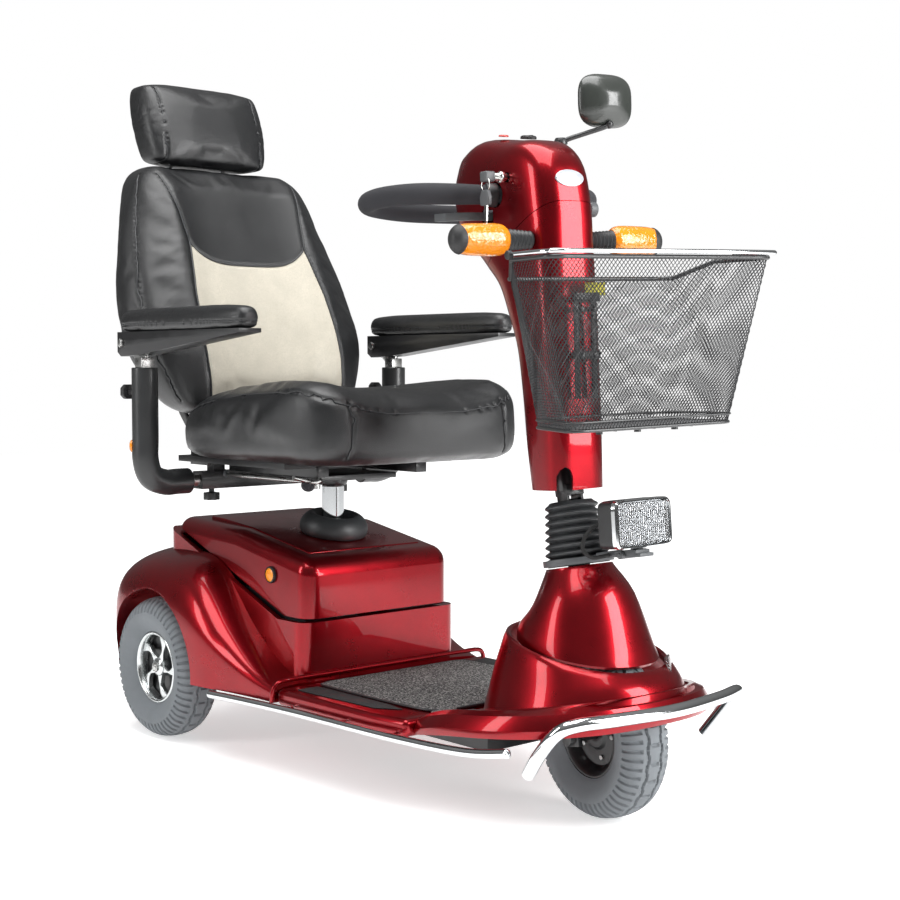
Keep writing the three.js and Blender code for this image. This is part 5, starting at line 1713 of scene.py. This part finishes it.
class SCOOTER_OT_seat_cushion(bpy.types.Operator):
    """Build the seat cushion with its seams"""

    bl_idname = "scooter.seat_cushion"
    bl_label = "Seat Cushion"

    def execute(self, context):
        rings = []
        for z, a, b in ((528, 222, 224), (531, 235, 236), (545, 242, 243), (575, 243, 245)):
            rings.append(plan_ring(CUSHION_X, a, b, z, z + 1, 6, 96))
        rows = [(30, 241, 243), (16, 237, 239), (6, 227, 229), (0, 208, 210), (0, 130, 140)]
        for drop, a, b in rows + [(0, 50, 55)]:
            flat = plan_ring(CUSHION_X, a, b, 0, 0, 6, 96)
            rings.append([(x, y, cushion_top(x, y) - drop - 4) for x, y, _ in flat])
        cushion = mesh_object("cushion_cover", loft(rings), STRAIGHT)
        puffed(cushion, context.scene.scooter_sizes.seat_swell / MM * 0.7, 7.0, 3.0)
        outline = plan_ring(CUSHION_X, 239, 241, 0, 0, 6, 90)
        welt = []
        for x, y, _ in outline + outline[:1]:
            welt.append(STRAIGHT @ Vector((x, y, cushion_top(x, y) - 9)))
        seams = [welt]
        for _, s in SIDES:
            join = [(500, 178, 530), (512, 174, 560), (516, 172, 600), (508, 172, 636)]
            seams.append(dense([(x, s * y, z) for x, y, z in join]))
        for k, line in enumerate(seams):
            pressed_seam(cushion, laid_on(cushion, line), 8, 2.2)
            seam_piping(f"cushion_seam_{k}", laid_on(cushion, line, 0.0006), "seat_cushion", 1.2)
        finished(cushion, "black_vinyl", stands_for=("seat_cushion",), angle=70)
        return {"FINISHED"}


def read_off(rows, z):
    """The value at a height, on straight lines through rows of height and value."""
    for (z0, v0), (z1, v1) in zip(rows, rows[1:]):
        if z <= z1:
            return v0 + (v1 - v0) * max(0.0, (z - z0) / (z1 - z0))
    return rows[-1][1]


def panel_half(z):
    """Half width of the fabric panel in the backrest at a height."""
    rows = [(590, 148), (640, 152), (700, 156), (760, 156), (830, 150), (880, 141)]
    return read_off(rows + [(920, 134), (980, 140), (1040, 152), (1075, 158)], z)


def yoke_height(y):
    """Height of the curved seam above the fabric panel."""
    return 884 + 40 * min(1.0, abs(y) / 134) ** 4


def back_front(z):
    """How far forward the backrest comes at a height."""
    return read_off([(height, front) for front, _, _, height in BACK_SECTIONS], z)


class SCOOTER_OT_backrest(bpy.types.Operator):
    """Build the backrest with its fabric panel, and its frame"""

    bl_idname = "scooter.backrest"
    bl_label = "Backrest"

    def execute(self, context):
        from_frame("backrest_frame", "back_support", "black_powder_coat")
        from_frame("recline_lever", "recline_handle", "black_moulding", 2.0, 3)
        rings = []
        for front, back, half, z in between(BACK_SECTIONS, 3):
            middle, deep = (front + back) / 2, (front - back) / 2 - 1.0
            ring = []
            for u, v in oval(deep, half - 1.0, 4.2, 96):
                x = middle + u
                if u > 0:
                    hollow = max(0.0, 1 - (v / 150) ** 4)
                    x -= 20 * hollow * min(1.0, u / deep)
                ring.append((x, v, min(max(z, 603), 1080)))
            rings.append(ring)
        back = mesh_object("backrest_cover", loft(rings), STRAIGHT)
        puffed(back, context.scene.scooter_sizes.seat_swell / MM * 0.8, 7.0, 2.5)

        def front_line(points):
            skin = surface_of(back)
            line = []
            for y, z in points:
                start = STRAIGHT @ Vector((back_front(z) + 120, y, z))
                spot = skin.ray_cast(start, Vector((-1, 0, 0)))[0]
                if spot is not None:
                    line.append(spot)
            return line

        heights = range(596, 1068, 8)
        seams = {name: [(s * panel_half(z), z) for z in heights] for name, s in SIDES}
        seams["yoke"] = [(y, yoke_height(y)) for y in range(-134, 135, 6)]
        for name, points in seams.items():
            pressed_seam(back, front_line(points), 8, 2.4)
        for name, points in seams.items():
            line = [p + Vector((0.0008, 0, 0)) for p in front_line(points)]
            seam_piping(f"backrest_seam_{name}", line, "backrest", 2.0)
        for name, s in SIDES:
            edge = [(front - 44, s * (half - 1), z) for front, _, half, z in BACK_SECTIONS[1:-1]]
            line = dense(edge, 6)
            pressed_seam(back, laid_on(back, line), 7, 2.0)
            line = laid_on(back, line, 0.0004)
            seam_piping(f"backrest_side_welt_{name}", line, "backrest", 1.5)
        finished(back, "black_vinyl", stands_for=("backrest",), angle=70)
        back.data.materials.append(material("beige_panel"))
        to_layout = STRAIGHT.inverted()
        for face in back.data.polygons:
            x, y, z = to_layout @ face.center
            if face.normal.x > 0.1 and abs(y) < panel_half(z) and z < yoke_height(y):
                face.material_index = 1
        return {"FINISHED"}


def head_middle(z):
    """The middle of the leaning headrest at a height."""
    return -219 - 0.28 * (z - 1160)


class SCOOTER_OT_headrest(bpy.types.Operator):
    """Build the headrest and its two rods"""

    bl_idname = "scooter.headrest"
    bl_label = "Headrest"

    def execute(self, context):
        rings = []
        for x, a, b, z in between(HEAD_SECTIONS, 4):
            level = min(max(z, 1090), 1244)
            rings.append(plan_ring(x, a - 2, b - 2, level, power=4.0, count=96))
        head = mesh_object("headrest_cover", loft(rings), STRAIGHT)
        puffed(head, 6.0, 5.0, 3.0)
        to_layout = STRAIGHT.inverted()
        for vertex in head.data.vertices:
            x, y, z = to_layout @ vertex.co
            edge = min(1.0, max(0.0, (abs(y) - 108) / 14))
            fold = math.sin(9 * math.atan2(z - 1163, x - head_middle(z)) + 0.05 * z)
            y -= math.copysign(FOLD_DEPTH * edge * max(0.0, fold), y)
            vertex.co = STRAIGHT @ Vector((x, y, z))
        for name, s in SIDES:
            loop = []
            for _, c, q in spread_round(64):
                z = 1166 + 80 * math.copysign(abs(q) ** 0.55, q)
                x = head_middle(z) + 54 * math.copysign(abs(c) ** 0.55, c)
                loop.append(STRAIGHT @ Vector((x, s * 112, z)))
            pressed_seam(head, laid_on(head, loop), 7, 2.4)
            seam_piping(f"headrest_seam_{name}", laid_on(head, loop, 0.0005), "headrest", 1.6)
        finished(head, "black_vinyl", stands_for=("headrest",), angle=70)
        rods = []
        for _, s in SIDES:
            ends = [(-254.5 + 0.287 * (1160 - z), s * 62, z) for z in (925, 1120)]
            rods.append(tube(ends, 6, 20, 1))
        piece("headrest_rods", merged(*rods), "chrome", node="headrest")
        return {"FINISHED"}


class SCOOTER_OT_armrests(bpy.types.Operator):
    """Build the armrests, their posts and their pads"""

    bl_idname = "scooter.armrests"
    bl_label = "Armrests"

    def execute(self, context):
        for name, s in SIDES:
            y = s * 289
            node = f"armrest_post_{name}"
            path = [(289, 686), (289, 620), (289, 560), (289, 520), (278, 490), (250, 478)]
            path = [(POST_X, s * out, z) for out, z in path + [(225, 478), (200, 478)]]
            post = mesh_object(node + "_tube", tube(path, 23.5, 36, 8), STRAIGHT)
            finished(bevelled(post, 3, 3, 50), "satin_tube", stands_for=(node,))
            pivot_at = (ARM_PIVOT[0], 0, ARM_PIVOT[1])
            neck = [(38, y - 13), (62, y - 13), (62, y + 13), (38, y + 13)]
            ear = merged(
                prism([(0, 720), (42, 684), (60, 684), (60, 712), (18, 741)], y - 3.6, y + 3.6),
                rod(12.5, y - 3.8, y + 3.8, at=pivot_at),
                prism(neck, 680, 704, "Z"),
                rod(10, *outwards(s, 110, 205), at=(POST_X, 0, 478)),
            )
            piece(node + "_inner", ear, "zinc_steel", bevel=(1.2, 2), node=node)
            knob = merged(
                rod(5, -6, 30, "X", (0, y, 642), 20),
                prism([(y + u, 642 + v) for u, v in oval(14, 14, 2.6, 8)], -16, -4, "X"),
            )
            piece(node + "_knob", knob, "black_moulding", bevel=(1.6, 2), node=node)
            disc = lathe([(0, 0), (11, 0), (11, 3), (8, 5), (0, 5.4)], 40, "Y")
            turn = math.pi - REFLECTOR_TURN if s < 0 else REFLECTOR_TURN
            place = STRAIGHT @ Matrix.Translation((POST_X, y, 545))
            place = place @ Matrix.Rotation(turn, 4, "Z") @ Matrix.Translation((0, 22.6, 0))
            amber = mesh_object(node + "_reflector", disc, place)
            finished(amber, "reflector_amber", node=node, slot="reflector_amber")
            node = f"armrest_arm_{name}"
            from_frame(node, f"armrest_bracket_{name}", "black_powder_coat")
            ends = [sorted((y + way * 22, y + way * 28)) for way in (s, -s)]
            bolts = merged(*[rod(8, *span, at=pivot_at, sides=6) for span in ends])
            pivot = bevelled(mesh_object(f"armrest_pivot_{name}", bolts, STRAIGHT), 1, 2)
            finished(pivot, "zinc_steel", node=node, slot="key_metal")
            node = f"armrest_pad_{name}"
            rings = []
            for z, inset in ((752, 7), (756, 2), (766, 0), (778, 2), (786, 8), (788, 18)):
                flat = plan_ring(PAD_X, 200 - inset, 30 - inset, z, power=4, count=72)
                rings.append([(x, v + y, w) for x, v, w in flat])
            pad = mesh_object(f"armrest_pad_cover_{name}", loft(rings), STRAIGHT)
            puffed(pad, 3.0, 4.0)
            flat = plan_ring(PAD_X, 201, 31, 0, power=4, count=120)
            welt = [STRAIGHT @ Vector((x, v + y, 762)) for x, v, _ in flat]
            pressed_seam(pad, laid_on(pad, welt), 5, 1.4)
            line = laid_on(pad, welt + welt[:1], 0.0003)
            seam_piping(f"armrest_welt_{name}", line, node, 1.0)
            finished(pad, "black_vinyl", stands_for=(node,), angle=70)
        return {"FINISHED"}


# ------------------------------------------------------------------ stage
FLOOR_HALF = 9
FADE_FROM_TO = (1.6, 4.5)
FLOOR_GLOW = 0.52
ROOM_STRENGTH = 0.32
# name, place, aim, size and power
SOFTBOXES = (
    ("Softbox_Top", (0.4, -0.4, 3.4), (0, 0, 0.5), (2.8, 2.8), 150),
    ("Softbox_Front", (3.0, 1.0, 1.5), (0.2, 0, 0.6), (1.3, 2.2), 130),
    ("Softbox_Side", (-1.2, -3.0, 1.6), (0, 0, 0.6), (0.7, 2.0), 36),
)
CAMERA_PLACE = (2.11036, -1.7406, 0.6899)
CAMERA_AZIMUTH, CAMERA_ELEVATION = math.radians(48.5), math.radians(3.1)
CAMERA_LENS = 62.5


def aimed(direction):
    return direction.to_track_quat("-Z", "Y").to_euler()


class SCOOTER_OT_stage(bpy.types.Operator):
    """Set the pale floor, the soft lights and the camera"""

    bl_idname = "scooter.stage"
    bl_label = "Stage"

    def execute(self, context):
        scene = context.scene
        corners = [(-FLOOR_HALF, -FLOOR_HALF, 0), (FLOOR_HALF, -FLOOR_HALF, 0)]
        corners += [(FLOOR_HALF, FLOOR_HALF, 0), (-FLOOR_HALF, FLOOR_HALF, 0)]
        floor = mesh_object("studio_floor", (corners, [(0, 1, 2, 3)]))
        floor.data.materials.append(material("studio_floor"))
        self.lighten_far(floor.data.materials[0].node_tree)
        scene.world = self.studio_world()
        for name, at, aim, size, power in SOFTBOXES:
            data = bpy.data.lights.new(name, "AREA")
            data.shape = "RECTANGLE"
            data.size, data.size_y = size
            data.energy = power
            lamp = bpy.data.objects.new(name, data)
            scene.collection.objects.link(lamp)
            lamp.location = at
            lamp.rotation_euler = aimed(Vector(aim) - Vector(at))
        scene.view_settings.view_transform = "Standard"
        camera = bpy.data.objects.new("Camera", bpy.data.cameras.new("Camera"))
        scene.collection.objects.link(camera)
        level = math.cos(CAMERA_ELEVATION)
        back = Vector((math.sin(CAMERA_AZIMUTH) * level, -math.cos(CAMERA_AZIMUTH) * level, 0))
        back.z = math.sin(CAMERA_ELEVATION)
        camera.location = CAMERA_PLACE
        camera.rotation_euler = aimed(-back)
        camera.data.lens = CAMERA_LENS
        camera.data.sensor_width = 36.0
        scene.camera = camera
        return {"FINISHED"}

    @staticmethod
    def lighten_far(tree):
        """The floor glows faintly, and turns white towards its far edge."""
        paper = tree.nodes["Principled BSDF"]
        where = linked(tree, "ShaderNodeTexCoord").outputs["Object"]
        length = {"operation": "LENGTH"}
        away = linked(tree, "ShaderNodeVectorMath", length, i0=where).outputs["Value"]
        far = ranged(tree, away, *FADE_FROM_TO)
        direct = linked(tree, "ShaderNodeLightPath").outputs["Is Camera Ray"]
        both = linked(tree, "ShaderNodeMath", {"operation": "MULTIPLY"}, i0=far, i1=direct)
        glow = ranged(tree, both.outputs[0], 0.0, 1.0, FLOOR_GLOW, 1.0)
        tree.links.new(glow, paper.inputs["Emission Color"])
        paper.inputs["Emission Strength"].default_value = 1.0

    @staticmethod
    def studio_world():
        """White where the camera looks past the floor; a soft fading room for the light."""
        world = bpy.data.worlds.new("Studio")
        world.use_nodes = True
        tree = world.node_tree
        room = tree.nodes["Background"]
        place = linked(tree, "ShaderNodeTexCoord").outputs["Generated"]
        height = linked(tree, "ShaderNodeSeparateXYZ", Vector=place).outputs["Z"]
        tree.links.new(ranged(tree, height, -0.2, 0.9, 0.1, 1.0), room.inputs["Color"])
        room.inputs["Strength"].default_value = ROOM_STRENGTH
        white = linked(tree, "ShaderNodeBackground", Color=(1, 1, 1, 1), Strength=1.0)
        seen = linked(tree, "ShaderNodeLightPath").outputs["Is Camera Ray"]
        ends = {"i1": room.outputs[0], "i2": white.outputs[0]}
        mixed = linked(tree, "ShaderNodeMixShader", i0=seen, **ends)
        tree.links.new(mixed.outputs[0], tree.nodes["World Output"].inputs["Surface"])
        return world


STEPS = (
    SCOOTER_OT_tyres,
    SCOOTER_OT_rims,
    SCOOTER_OT_drive,
    SCOOTER_OT_rear_body,
    SCOOTER_OT_battery_cover,
    SCOOTER_OT_post_boot,
    SCOOTER_OT_reflectors,
    SCOOTER_OT_deck,
    SCOOTER_OT_front_body,
    SCOOTER_OT_bright_bars,
    SCOOTER_OT_bellows,
    SCOOTER_OT_headlamp,
    SCOOTER_OT_tiller,
    SCOOTER_OT_handlebar,
    SCOOTER_OT_controls,
    SCOOTER_OT_indicators,
    SCOOTER_OT_mirror,
    SCOOTER_OT_basket,
    SCOOTER_OT_seat_base,
    SCOOTER_OT_seat_cushion,
    SCOOTER_OT_backrest,
    SCOOTER_OT_headrest,
    SCOOTER_OT_armrests,
    SCOOTER_OT_stage,
)


class SCOOTER_PT_pieces(bpy.types.Panel):
    bl_idname = "SCOOTER_PT_pieces"
    bl_label = "Mobility Scooter"
    bl_space_type = "VIEW_3D"
    bl_region_type = "UI"
    bl_category = "Scooter"

    def draw(self, context):
        layout = self.layout
        for name in ("body", "vinyl", "panel", "indicator"):
            layout.prop(context.scene.scooter_colours, name)
        for name in ("tread_depth", "seat_swell", "basket_wire", "bellows_folds"):
            layout.prop(context.scene.scooter_sizes, name)
        for step in STEPS:
            layout.operator(step.bl_idname)


CLASSES = (ScooterColours, ScooterSizes, *STEPS, SCOOTER_PT_pieces)


def register():
    for cls in CLASSES:
        bpy.utils.register_class(cls)
    bpy.types.Scene.scooter_colours = bpy.props.PointerProperty(type=ScooterColours)
    bpy.types.Scene.scooter_sizes = bpy.props.PointerProperty(type=ScooterSizes)


def unregister():
    del bpy.types.Scene.scooter_sizes
    del bpy.types.Scene.scooter_colours
    for cls in reversed(CLASSES):
        bpy.utils.unregister_class(cls)


def main():
    register()
    for step in STEPS:
        group, name = step.bl_idname.split(".")
        getattr(getattr(bpy.ops, group), name)()
    bpy.context.view_layer.update()


if __name__ == "__main__":
    main()
